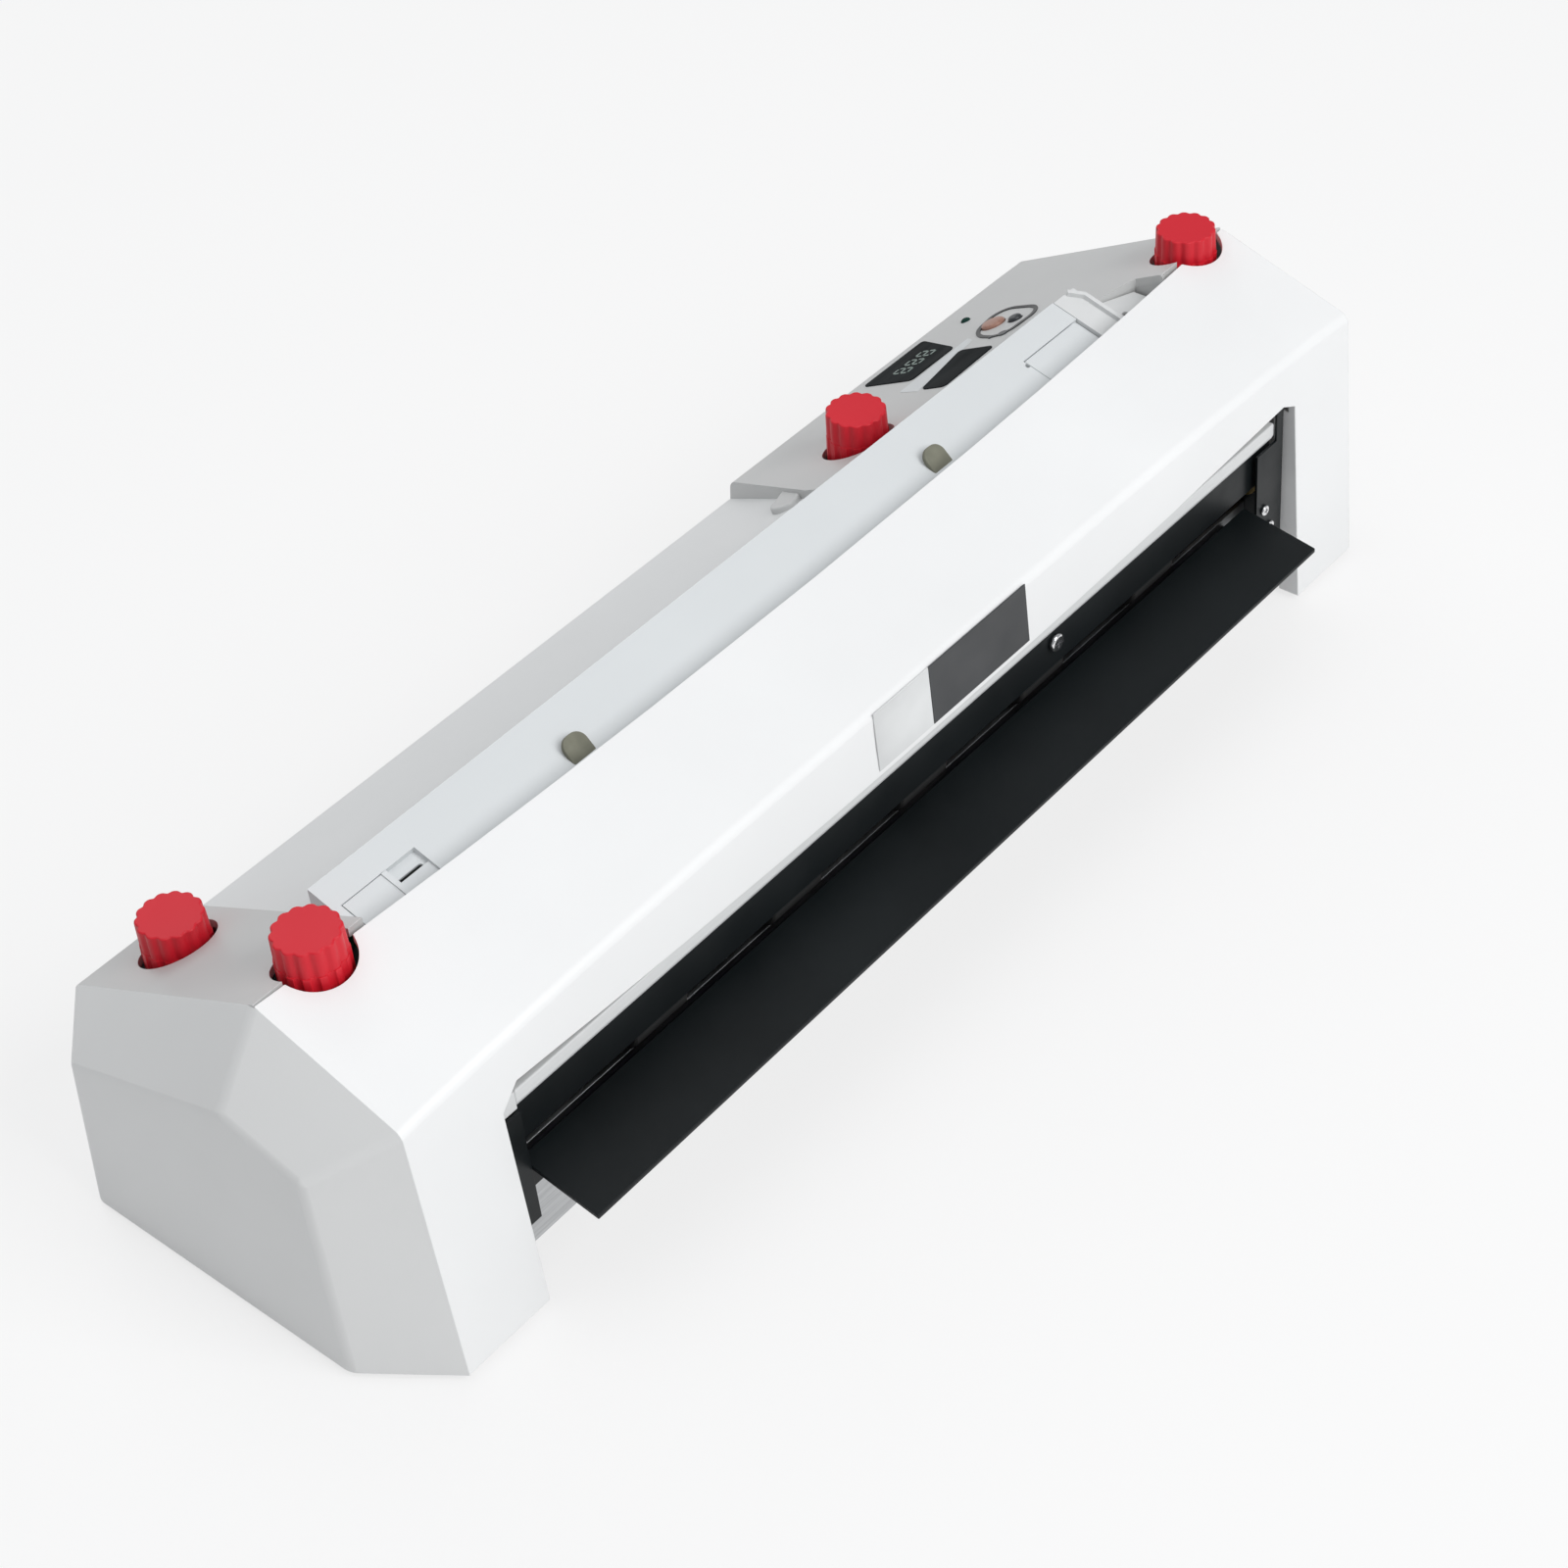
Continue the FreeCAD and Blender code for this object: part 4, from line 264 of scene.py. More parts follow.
    @staticmethod
    def place(piece: Piece, place: Matrix) -> Piece:
        """Takes a settled piece through a matrix, and settles it."""
        piece.matrix_world = place @ piece.matrix_world
        return Bench.settle(piece)

    @staticmethod
    def box(name: str, low: Sequence[float], high: Sequence[float]) -> Piece:
        """Block between two corners, in metres.

        Args:
            name: name of the piece.
            low: lowest corner.
            high: highest corner.

        Returns:
            The block, settled.
        """
        Bench.clear()
        centre = [(a + b) / 2 for a, b in zip(low, high)]
        bpy.ops.mesh.primitive_cube_add(size=1.0, location=centre)
        piece = bpy.context.active_object
        piece.scale = [b - a for a, b in zip(low, high)]
        return Bench.settle(Bench.name(piece, name))

    @staticmethod
    def drum(name: str, centre: Sequence[float], radius: float, depth: float,
             sides: int) -> Piece:
        """Upright cylinder about its middle.

        Args:
            name: name of the piece.
            centre: middle of the cylinder, in metres.
            radius: radius in metres.
            depth: height in metres.
            sides: number of sides.

        Returns:
            The cylinder, settled.
        """
        Bench.clear()
        bpy.ops.mesh.primitive_cylinder_add(
            vertices=sides, radius=radius, depth=depth, location=centre)
        return Bench.settle(Bench.name(bpy.context.active_object, name))

    @staticmethod
    def ring(name: str, radius: float, tube: float, sides: int, tube_sides: int) -> Piece:
        """Torus that lies flat about the origin.

        Args:
            name: name of the piece.
            radius: radius of the tube's middle line, in metres.
            tube: radius of the tube, in metres.
            sides: steps round the ring.
            tube_sides: steps round the tube.

        Returns:
            The torus, settled.
        """
        Bench.clear()
        bpy.ops.mesh.primitive_torus_add(
            major_radius=radius, minor_radius=tube, major_segments=sides,
            minor_segments=tube_sides)
        return Bench.settle(Bench.name(bpy.context.active_object, name))

    @staticmethod
    def slab(name: str, corners: Sequence[Pair], low: float, high: float, radius: float,
             segments: int = 6) -> Piece:
        """Flat plate with four corners and rounded upright edges, lying in the XY plane.

        Args:
            name: name of the piece.
            corners: near left, near right, far right and far left corner, in millimetres.
            low: height of its underside, in millimetres.
            high: height of its top, in millimetres.
            radius: rounding of its upright edges, in millimetres.
            segments: steps in that rounding.

        Returns:
            The plate.
        """
        left, right = min(x for x, _ in corners), max(x for x, _ in corners)
        near, far = min(y for _, y in corners), max(y for _, y in corners)
        piece = Bench.box(name, mm(left, near, low), mm(right, far, high))
        middle_x, middle_y = (left + right) / 2 * MM, (near + far) / 2 * MM
        starts = ((left, near), (right, near), (right, far), (left, far))
        for (x, y), (end_x, end_y) in zip(starts, corners):
            Bench.shift(
                piece, lambda point: (point.x > middle_x) == (x == right)
                and (point.y > middle_y) == (y == far), mm(end_x - x, end_y - y, 0.0))
        Bench.open(piece)
        Bench.pick_edges(piece, lambda one, other: abs(one.z - other.z) > (high - low) * MM / 2)
        Bench.bevel(radius * MM, segments)
        Bench.close()
        return piece

    @staticmethod
    def twin(piece: Piece, name: str) -> Piece:
        """Duplicates a piece with a mesh of its own.

        Args:
            piece: the piece to duplicate.
            name: name of the new piece.

        Returns:
            The new piece, in the same place.
        """
        Bench.only(piece)
        bpy.ops.object.duplicate(linked=False)
        return Bench.name(bpy.context.active_object, name)

    @staticmethod
    def copy(piece: Piece, name: str, move: Sequence[float] = (0.0, 0.0, 0.0)) -> Piece:
        """Copy of a piece, moved and settled.

        Args:
            piece: the piece to copy.
            name: name of the copy.
            move: how far the copy is moved, in metres.

        Returns:
            The copy.
        """
        twin = Bench.twin(piece, name)
        twin.location = [a + b for a, b in zip(twin.location, move)]
        return Bench.settle(twin)

    @staticmethod
    def join(name: str, pieces: Sequence[Piece]) -> Piece:
        """Joins pieces into one object.

        Args:
            name: name of the joined piece.
            pieces: what is joined, the first of which stays.

        Returns:
            The joined piece.
        """
        Bench.only(pieces[0])
        for other in pieces[1:]:
            other.select_set(True)
        bpy.ops.object.join()
        return Bench.name(pieces[0], name)

    @staticmethod
    def discard(piece: Piece) -> None:
        """Removes a piece that was only a tool.

        Args:
            piece: the piece to remove, with its mesh.
        """
        mesh = piece.data
        bpy.data.objects.remove(piece)
        bpy.data.meshes.remove(mesh)

    @staticmethod
    def modify(piece: Piece, kind: str, **settings: object) -> Piece:
        """Puts one modifier on a piece and applies it.

        Args:
            piece: the piece to change.
            kind: type of the modifier.
            settings: the modifier's own settings.

        Returns:
            The piece.
        """
        Bench.only(piece)
        modifier = piece.modifiers.new(kind.lower(), kind)
        for key, value in settings.items():
            setattr(modifier, key, value)
        bpy.ops.object.modifier_apply(modifier=modifier.name)
        return piece

    @staticmethod
    def soften(piece: Piece, width: float, segments: int = 3, angle: float = 28.0,
               miter: Miter = Miter.ARC) -> Piece:
        """Rounds every edge that is sharper than an angle.

        Args:
            piece: the piece to round.
            width: width of the rounding in metres.
            segments: steps in the rounding.
            angle: smallest angle in degrees that is rounded.
            miter: how it goes round outer corners.

        Returns:
            The piece.
        """
        return Bench.modify(piece, "BEVEL", width=width, segments=segments,
                            limit_method="ANGLE", angle_limit=math.radians(angle),
                            miter_outer=miter.value)

    @staticmethod
    def smooth(piece: Piece, angle: float = 30.0) -> Piece:
        """Shades a piece smooth, except over its sharp edges.

        Args:
            piece: the piece to shade.
            angle: smallest angle in degrees at which an edge stays sharp.

        Returns:
            The piece.
        """
        Bench.only(piece)
        bpy.ops.object.shade_smooth_by_angle(angle=math.radians(angle))
        return Bench.modify(piece, "WEIGHTED_NORMAL", keep_sharp=True)

    @staticmethod
    def carve(piece: Piece, tool: Piece) -> Piece:
        """Cuts a tool out of a piece and puts the tool away.

        Args:
            piece: the piece to cut.
            tool: the shape that is taken out of it.

        Returns:
            The piece.
        """
        Bench.modify(piece, "BOOLEAN", operation="DIFFERENCE", solver="EXACT", object=tool)
        Bench.discard(tool)
        return piece

    @staticmethod
    def bevel(width: float, segments: int, miter: Miter = Miter.SHARP,
              clamp: bool = False) -> None:
        """Rounds the edges that are selected in edit mode.

        Args:
            width: width of the rounding in metres.
            segments: steps in the rounding.
            miter: how it goes round outer corners.
            clamp: whether it stops where two roundings would meet.
        """
        bpy.ops.mesh.bevel(offset=width, segments=segments, profile=Bench.ROUND,
                           affect="EDGES", clamp_overlap=clamp, miter_outer=miter.name)

    @staticmethod
    def round_creases(piece: Piece, width: float, segments: int, test: CreaseTest,
                      least: float) -> Piece:
        """Rounds the edges that pass a test, whatever the walls beside them.

        Args:
            piece: the piece to round.
            width: width of the rounding in metres.
            segments: steps in the rounding.
            test: takes an edge's middle and its two faces, and says whether to round it.
            least: smallest angle in degrees that is rounded.

        Returns:
            The piece.
        """
        Bench.open(piece)
        if Bench.pick_creases(piece, test, least):
            Bench.bevel(width, segments, Miter.ARC)
        Bench.close()
        return piece

    @staticmethod
    def shift(piece: Piece, test: PointTest, move: Sequence[float]) -> Piece:
        """Moves the points of a piece that pass a test.

        Args:
            piece: the piece to reshape.
            test: takes a point, and says whether to move it.
            move: how far they move, in metres.

        Returns:
            The piece.
        """
        Bench.open(piece)
        Bench.pick_points(piece, test)
        bpy.ops.transform.translate(value=move)
        Bench.close()
        return piece

    @staticmethod
    def scale(piece: Piece, test: PointTest, factors: Sequence[float], centre: Vector) -> Piece:
        """Scales the points of a piece that pass a test about a centre.

        Args:
            piece: the piece to reshape.
            test: takes a point, and says whether to scale it.
            factors: scale along each axis.
            centre: the point that stays, in metres.

        Returns:
            The piece.
        """
        Bench.open(piece)
        Bench.pick_points(piece, test)
        bpy.ops.transform.resize(value=factors, center_override=centre)
        Bench.close()
        return piece

    @staticmethod
    def hoop(piece: Piece, width: float) -> Piece:
        """Opens a flat plate into a hoop.

        Args:
            piece: the plate, lying in the XY plane.
            width: even width of the hoop, in metres.

        Returns:
            The piece.
        """
        Bench.open(piece)
        Bench.pick_faces(piece, lambda centre, normal: abs(normal.z) > Bench.FACING)
        bpy.ops.mesh.inset(thickness=width, use_individual=False)
        bpy.ops.mesh.bridge_edge_loops()
        Bench.close()
        return Bench.outward(piece)

    @staticmethod
    def outward(piece: Piece) -> Piece:
        """Merges doubled points and points every face outwards.

        Args:
            piece: the piece to mend.

        Returns:
            The piece.
        """
        Bench.open(piece, whole=True)
        bpy.ops.mesh.remove_doubles(threshold=Bench.MERGE)
        bpy.ops.mesh.normals_make_consistent(inside=False)
        Bench.close()
        return piece


class Frame:
    """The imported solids, and the pieces cast from them."""

    def __init__(self, loaded: dict) -> None:
        """Keeps the loaded nodes, and each node's body and material slot.
        """
        record = loaded["record"]
        self.nodes: dict[str, Piece] = loaded["nodes"]
        self.body_of: dict[str, str] = {
            node: body for body, members in record["behaviour"]["bodies"].items()
            for node in members}
        self.slot_of: dict[str, str] = {
            row["node"]: row["material_slot"] for row in record["subparts"]}

    def cast(self, node: str, name: str) -> Piece:
        """Copy of a solid with its loose triangles merged into whole faces.

        Args:
            node: name of the solid.
            name: name of the new piece.

        Returns:
            The copy, at the origin and not yet riding on anything.
        """
        piece = Bench.twin(self.nodes[node], name)
        piece.parent = None
        for key in list(piece.keys()):
            del piece[key]
        Bench.open(piece, whole=True)
        bpy.ops.mesh.remove_doubles(threshold=Bench.MERGE)
        bpy.ops.mesh.dissolve_limited(angle_limit=Bench.FLAT)
        Bench.close()
        return piece

    def seat(self, piece: Piece, node: str, replaces: Sequence[str] = ()) -> Piece:
        """Makes a piece ride on a node's body, standing for some nodes.

        Args:
            piece: the finished piece.
            node: node whose body it rides on.
            replaces: nodes that it stands for.

        Returns:
            The piece.
        """
        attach(piece, self.body_of[node])
        if replaces:
            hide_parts(*replaces)
        return piece


# ---------------------------------------------------------------- finishes


class NodeBoard:
    """A new material with its shader, and short ways to add nodes to it."""

    LOW: ClassVar[float] = 0.3  # noise is seldom lower than this
    HIGH: ClassVar[float] = 0.7  # noise is seldom higher than this

    def __init__(self, name: str) -> None:
        """Makes the material with an empty tree and one shader.

        Args:
            name: name of the material.
        """
        self.material = bpy.data.materials.new(name)
        self.material.use_nodes = True
        self.tree = self.material.node_tree
        self.tree.nodes.clear()
        self.output = self.add("OutputMaterial")
        self.shader = self.add("BsdfPrincipled")
        self.link(self.shader.outputs["BSDF"], self.output.inputs["Surface"])
        self.place = self.add("TexCoord").outputs["Object"]

    @staticmethod
    def fill(node: bpy.types.Node, values: dict) -> None:
        """Sets a node's own sockets.

        Args:
            node: the node.
            values: what each socket is set to; underscores in their names stand for spaces.
        """
        for key, value in values.items():
            node.inputs[key.replace("_", " ")].default_value = value

    def add(self, kind: str, **values: object) -> bpy.types.Node:
        """Adds a node and sets its own sockets.

        Args:
            kind: type of the node, without its first word ShaderNode.
            values: what its sockets are set to.

        Returns:
            The node.
        """
        node = self.tree.nodes.new(f"ShaderNode{kind}")
        self.fill(node, values)
        return node

    def link(self, start: Socket, end: Socket) -> None:
        """Joins two sockets."""
        self.tree.links.new(start, end)

    def stretched(self, scale: Place) -> Socket:
        """Object coordinates scaled along each axis.

        Args:
            scale: scale along each axis.

        Returns:
            The vector socket.
        """
        mapping = self.add("Mapping", Scale=scale)
        self.link(self.place, mapping.inputs["Vector"])
        return mapping.outputs["Vector"]

    def noise(self, scale: float, detail: float = 2.0, vector: Optional[Socket] = None) -> Socket:
        """Noise pattern.

        Args:
            scale: how many features there are in a metre.
            detail: octaves of finer noise.
            vector: coordinates, the object's own if none are given.

        Returns:
            The factor socket.
        """
        node = self.add("TexNoise", Scale=scale, Detail=detail)
        self.link(self.place if vector is None else vector, node.inputs["Vector"])
        return node.outputs["Fac"]

    def cells(self, scale: float) -> Socket:
        """Cell pattern.

        Args:
            scale: how many cells there are in a metre.

        Returns:
            The socket of the distance to the nearest cell's point.
        """
        node = self.add("TexVoronoi", Scale=scale)
        self.link(self.place, node.inputs["Vector"])
        return node.outputs["Distance"]

    def bump(self, height: Socket, strength: float, distance: float,
             under: Optional[Socket] = None) -> Socket:
        """Bump from a height pattern.

        Args:
            height: the pattern.
            strength: how strong it is, from 0 to 1.
            distance: height of a full step, in metres.
            under: another bump that this one lies on.

        Returns:
            The normal socket.
        """
        node = self.add("Bump", Strength=strength, Distance=distance)
        self.link(height, node.inputs["Height"])
        if under is not None:
            self.link(under, node.inputs["Normal"])
        return node.outputs["Normal"]

    def tone(self, factor: Socket, low: Colour, high: Colour, start: float = LOW,
             end: float = HIGH) -> None:
        """Gives the shader a base colour that wanders between two colours.

        Args:
            factor: the pattern that it follows.
            low: colour up to the pattern's value start.
            high: colour from the pattern's value end.
            start: value of the pattern at which the change begins.
            end: value of the pattern at which it ends.
        """
        node = self.add("ValToRGB")
        first, last = node.color_ramp.elements
        first.position, last.position = start, end
        first.color, last.color = (*low, 1.0), (*high, 1.0)
        self.link(factor, node.inputs["Fac"])
        self.link(node.outputs["Color"], self.shader.inputs["Base Color"])

    def gloss(self, factor: Socket, low: float, high: float) -> None:
        """Gives the shader a roughness that wanders between two values.

        Args:
            factor: the pattern that it follows.
            low: roughness where the pattern is low.
            high: roughness where it is high.
        """
        node = self.add("MapRange", From_Min=self.LOW, From_Max=self.HIGH, To_Min=low,
                        To_Max=high)
        self.link(factor, node.inputs["Value"])
        self.link(node.outputs["Result"], self.shader.inputs["Roughness"])

    def relief(self, normal: Socket) -> None:
        """Gives the shader its bumped surface."""
        self.link(normal, self.shader.inputs["Normal"])

    def set(self, **values: float) -> None:
        """Sets uniform values on the shader's own sockets."""
        self.fill(self.shader, values)


def shade(colour: Colour, factor: float) -> Colour:
    """A colour made lighter or darker by a factor, kept below 1."""
    return tuple(min(1.0, channel * factor) for channel in colour)


@dataclass(frozen=True)
class MouldedPlastic:
    """Injection moulded plastic with a spark-eroded grain and slight clouding.

    The grain is how many specks there are in a metre, and its depth is in metres.
    """

    name: str
    colour: Colour
    roughness: float = 0.42
    grain: float = 2600.0
    depth: float = 0.00004
    clouding: float = 0.03
    coat: float = 0.0
    specular: float = 0.5

    CLOUDS: ClassVar[Noise] = (9.0, 4.0)
    PATCHES: ClassVar[Noise] = (38.0, 3.0)
    SPREAD: ClassVar[Pair] = (0.04, 0.05)
    WAVES: ClassVar[Noise] = (30.0, 1.0)
    WAVE_RELIEF: ClassVar[Relief] = (0.25, 0.00006)
    GRAIN_STRENGTH: ClassVar[float] = 0.35
    COAT_ROUGHNESS: ClassVar[float] = 0.2
    REFRACTION: ClassVar[float] = 1.5

    def material(self) -> bpy.types.Material:
        """Builds the material.

        Returns:
            The material.
        """
        board = NodeBoard(self.name)
        board.tone(board.noise(*self.CLOUDS), shade(self.colour, 1 - self.clouding),
                   shade(self.colour, 1 + self.clouding))
        board.gloss(board.noise(*self.PATCHES), self.roughness - self.SPREAD[0],
                    self.roughness + self.SPREAD[1])
        waves = board.bump(board.noise(*self.WAVES), *self.WAVE_RELIEF)
        board.relief(board.bump(board.noise(self.grain), self.GRAIN_STRENGTH, self.depth, waves))
        board.set(Coat_Weight=self.coat, Coat_Roughness=self.COAT_ROUGHNESS,
                  IOR=self.REFRACTION, Specular_IOR_Level=self.specular)
        return board.material


@dataclass(frozen=True)
class SheetMetal:
    """Rolled or ground metal with streaks along its length."""

    name: str
    colour: Colour
    roughness: float = 0.35
    streak: Place = (60.0, 1400.0, 1400.0)
    contrast: float = 0.12

    STREAK_DETAIL: ClassVar[float] = 4.0
    BLOTCHES: ClassVar[Noise] = (45.0, 3.0)
    SPREAD: ClassVar[Pair] = (0.06, 0.09)
    RELIEF: ClassVar[Relief] = (0.18, 0.00003)

    def material(self) -> bpy.types.Material:
        """Builds the material.

        Returns:
            The material.
        """
        board = NodeBoard(self.name)
        line = board.noise(1.0, self.STREAK_DETAIL, board.stretched(self.streak))
        board.tone(line, shade(self.colour, 1 - self.contrast),
                   shade(self.colour, 1 + self.contrast))
        board.gloss(board.noise(*self.BLOTCHES), self.roughness - self.SPREAD[0],
                    self.roughness + self.SPREAD[1])
        board.relief(board.bump(line, *self.RELIEF))
        board.set(Metallic=1.0)
        return board.material


@dataclass(frozen=True)
class Enamel:
    """Stove enamel with a fine orange-peel surface over sheet steel."""

    name: str
    colour: Colour
    roughness: float = 0.3
    specular: float = 0.5

    CLOUDS: ClassVar[Noise] = (25.0, 3.0)
    CONTRAST: ClassVar[Pair] = (0.85, 1.25)
    PATCHES: ClassVar[Noise] = (70.0, 2.0)
    SPREAD: ClassVar[Pair] = (0.05, 0.08)
    PEEL: ClassVar[Noise] = (900.0, 1.0)
    PEEL_RELIEF: ClassVar[Relief] = (0.2, 0.00004)

    def material(self) -> bpy.types.Material:
        """Builds the material.

        Returns:
            The material.
        """
        board = NodeBoard(self.name)
        board.tone(board.noise(*self.CLOUDS), shade(self.colour, self.CONTRAST[0]),
                   shade(self.colour, self.CONTRAST[1]))
        board.gloss(board.noise(*self.PATCHES), self.roughness - self.SPREAD[0],
                    self.roughness + self.SPREAD[1])
        board.relief(board.bump(board.noise(*self.PEEL), *self.PEEL_RELIEF))
        board.set(Specular_IOR_Level=self.specular)
        return board.material


@dataclass(frozen=True)
class Rubber:
    """Matt rubber with a fine pebbled surface and a little dust."""

    name: str
    colour: Colour
    roughness: float = 0.78

    DUST: ClassVar[Noise] = (160.0, 4.0)
    CONTRAST: ClassVar[Pair] = (0.85, 1.15)
    PATCHES: ClassVar[Noise] = (300.0, 2.0)
    SPREAD: ClassVar[float] = 0.06
    PEBBLES: ClassVar[float] = 1800.0
    PEBBLE_RELIEF: ClassVar[Relief] = (0.4, 0.00006)
    SPECULAR: ClassVar[float] = 0.3

    def material(self) -> bpy.types.Material:
        """Builds the material.

        Returns:
            The material.
        """
        board = NodeBoard(self.name)
        board.tone(board.noise(*self.DUST), shade(self.colour, self.CONTRAST[0]),
                   shade(self.colour, self.CONTRAST[1]))
        board.gloss(board.noise(*self.PATCHES), self.roughness - self.SPREAD,
                    self.roughness + self.SPREAD)
        board.relief(board.bump(board.cells(self.PEBBLES), *self.PEBBLE_RELIEF))
        board.set(Specular_IOR_Level=self.SPECULAR)
        return board.material


@dataclass(frozen=True)
class SmokedWindow:
    """Dark gloss window with faint smears."""

    name: str
    colour: Colour
    roughness: float = 0.24

    CLOUDS: ClassVar[Noise] = (60.0, 2.0)
    CONTRAST: ClassVar[float] = 1.8
    SMEAR: ClassVar[Place] = (60.0, 260.0, 260.0)
    SMEAR_DETAIL: ClassVar[float] = 3.0
    SPREAD: ClassVar[float] = 0.12
    SPECULAR: ClassVar[float] = 0.12
    REFRACTION: ClassVar[float] = 1.12

    def material(self) -> bpy.types.Material:
        """Builds the material.

        Returns:
            The material.
        """
        board = NodeBoard(self.name)
        board.tone(board.noise(*self.CLOUDS), self.colour, shade(self.colour, self.CONTRAST))
        smear = board.noise(1.0, self.SMEAR_DETAIL, board.stretched(self.SMEAR))
        board.gloss(smear, self.roughness, self.roughness + self.SPREAD)
        board.set(Specular_IOR_Level=self.SPECULAR, IOR=self.REFRACTION)
        return board.material


@dataclass(frozen=True)
class Lacquer:
    """Circuit board lacquer with the shade of copper tracks under it."""

    name: str
    colour: Colour = (0.02, 0.16, 0.07)

    TRACKS: ClassVar[Place] = (420.0, 130.0, 420.0)
    TRACK_EDGES: ClassVar[Pair] = (0.47, 0.53)
    TRACK_RELIEF: ClassVar[Relief] = (0.3, 0.00005)
    CONTRAST: ClassVar[float] = 1.9
    PATCHES: ClassVar[float] = 90.0
    ROUGHNESS: ClassVar[Pair] = (0.28, 0.42)

    def material(self) -> bpy.types.Material:
        """Builds the material.

        Returns:
            The material.
        """
        board = NodeBoard(self.name)
        tracks = board.noise(1.0, 0.0, board.stretched(self.TRACKS))
        board.tone(tracks, self.colour, shade(self.colour, self.CONTRAST), *self.TRACK_EDGES)
        board.relief(board.bump(tracks, *self.TRACK_RELIEF))
        board.gloss(board.noise(self.PATCHES), *self.ROUGHNESS)
        return board.material


class Finish(Enum):
    """Every finish on the machine, by what it covers."""

    WHITE = MouldedPlastic("white_moulding", (0.86, 0.865, 0.865), 0.44)
    GREY = MouldedPlastic("grey_moulding", (0.60, 0.605, 0.60), 0.46)
    # Painted shade: the end caps are the front's white plastic, set a little darker so that the
    # shaded left-hand cap reads grey.
    CAP = MouldedPlastic("cap_moulding", (0.80, 0.805, 0.80), 0.46)
    WELL = MouldedPlastic("recess_moulding", (0.78, 0.79, 0.79), 0.45)
    TRAY = MouldedPlastic("tray_moulding", (0.69, 0.715, 0.725), 0.42)
    PALE = MouldedPlastic("pale_moulding", (0.70, 0.71, 0.71), 0.45)
    RED = MouldedPlastic("red_knob", (0.63, 0.012, 0.026), 0.46, grain=2200.0, depth=0.00003,
                         clouding=0.06, specular=0.36)
    BLACK_PLASTIC = MouldedPlastic("black_moulding", (0.022, 0.023, 0.025), 0.5)
    ORANGE = MouldedPlastic("start_key", (0.40, 0.21, 0.155), 0.4, depth=0.00002,
                            clouding=0.06, coat=0.1)
    DARK_KEY = MouldedPlastic("dark_key", (0.03, 0.035, 0.04), 0.35, depth=0.00002,
                              clouding=0.05, coat=0.2)
    NYLON = MouldedPlastic("natural_nylon", (0.74, 0.72, 0.66), 0.5, grain=1500.0,
                           depth=0.00003, clouding=0.04)
    SEGMENT = MouldedPlastic("unlit_segment", (0.24, 0.31, 0.28), 0.4, depth=0.00001)
    LAMP = SmokedWindow("lamp_lens", (0.012, 0.035, 0.028), 0.15)
    WINDOW = SmokedWindow("smoked_window", (0.004, 0.006, 0.007), 0.3)
    BLACK_SHEET = Enamel("black_enamel", (0.006, 0.008, 0.009), 0.38, specular=0.22)
    MOTOR = Enamel("motor_lacquer", (0.03, 0.03, 0.034), 0.25)
    FILM = Enamel("printed_film", (0.012, 0.014, 0.015), 0.32)
    PLATE_DARK = Enamel("dark_blank_plate", (0.035, 0.037, 0.040), 0.4)
    PLATE_PALE = Enamel("pale_blank_plate", (0.62, 0.63, 0.63), 0.4)
    OLIVE = Rubber("olive_rubber", (0.20, 0.20, 0.155))
    BLACK_RUBBER = Rubber("black_rubber", (0.022, 0.022, 0.022))
    ZINC = SheetMetal("zinc_sheet", (0.52, 0.53, 0.54), 0.36)
    GROUND = SheetMetal("ground_steel", (0.62, 0.63, 0.64), 0.2,
                        streak=(1500.0, 90.0, 90.0), contrast=0.08)
    KNIFE = SheetMetal("knife_steel", (0.56, 0.57, 0.59), 0.24,
                       streak=(1400.0, 300.0, 300.0), contrast=0.1)
    BRASS = SheetMetal("turned_brass", (0.65, 0.47, 0.20), 0.28,
                       streak=(1500.0, 120.0, 120.0), contrast=0.1)
    CHROME = SheetMetal("bright_plate", (0.78, 0.78, 0.79), 0.12,
                        streak=(500.0, 500.0, 60.0), contrast=0.04)
    BOARD = Lacquer("board_lacquer")

    def on(self, piece: Piece) -> Piece:
        """Puts this finish on the whole of a piece.

        Args:
            piece: the piece to dress.

        Returns:
            The piece.
        """
        piece.data.materials.clear()
        piece.data.materials.append(Paint.of(self))
        return piece

    def over(self, piece: Piece, test: PairTest) -> Piece:
        """Puts this finish on some faces of a piece, beside the finish that it has.

        Args:
            piece: the piece to dress.
            test: takes a face's centre and normal, and says whether it gets the finish.

        Returns:
            The piece.
        """
        piece.data.materials.append(Paint.of(self))
        index = len(piece.data.materials) - 1
        for face in piece.data.polygons:
            if test(face.center, face.normal):
                face.material_index = index
        return piece


class Paint:
    """Keeps one material for each finish, so that none is built twice."""

    MADE: ClassVar[dict[str, bpy.types.Material]] = {}

    @classmethod
    def of(cls, finish: Finish) -> bpy.types.Material:
        """The material of a finish, built the first time that it is asked for.

        Args:
            finish: the finish.

        Returns:
            Its material.
        """
        if finish.name not in cls.MADE:
            cls.MADE[finish.name] = finish.value.material()
        return cls.MADE[finish.name]


# ---------------------------------------------------------------- sub-assemblies


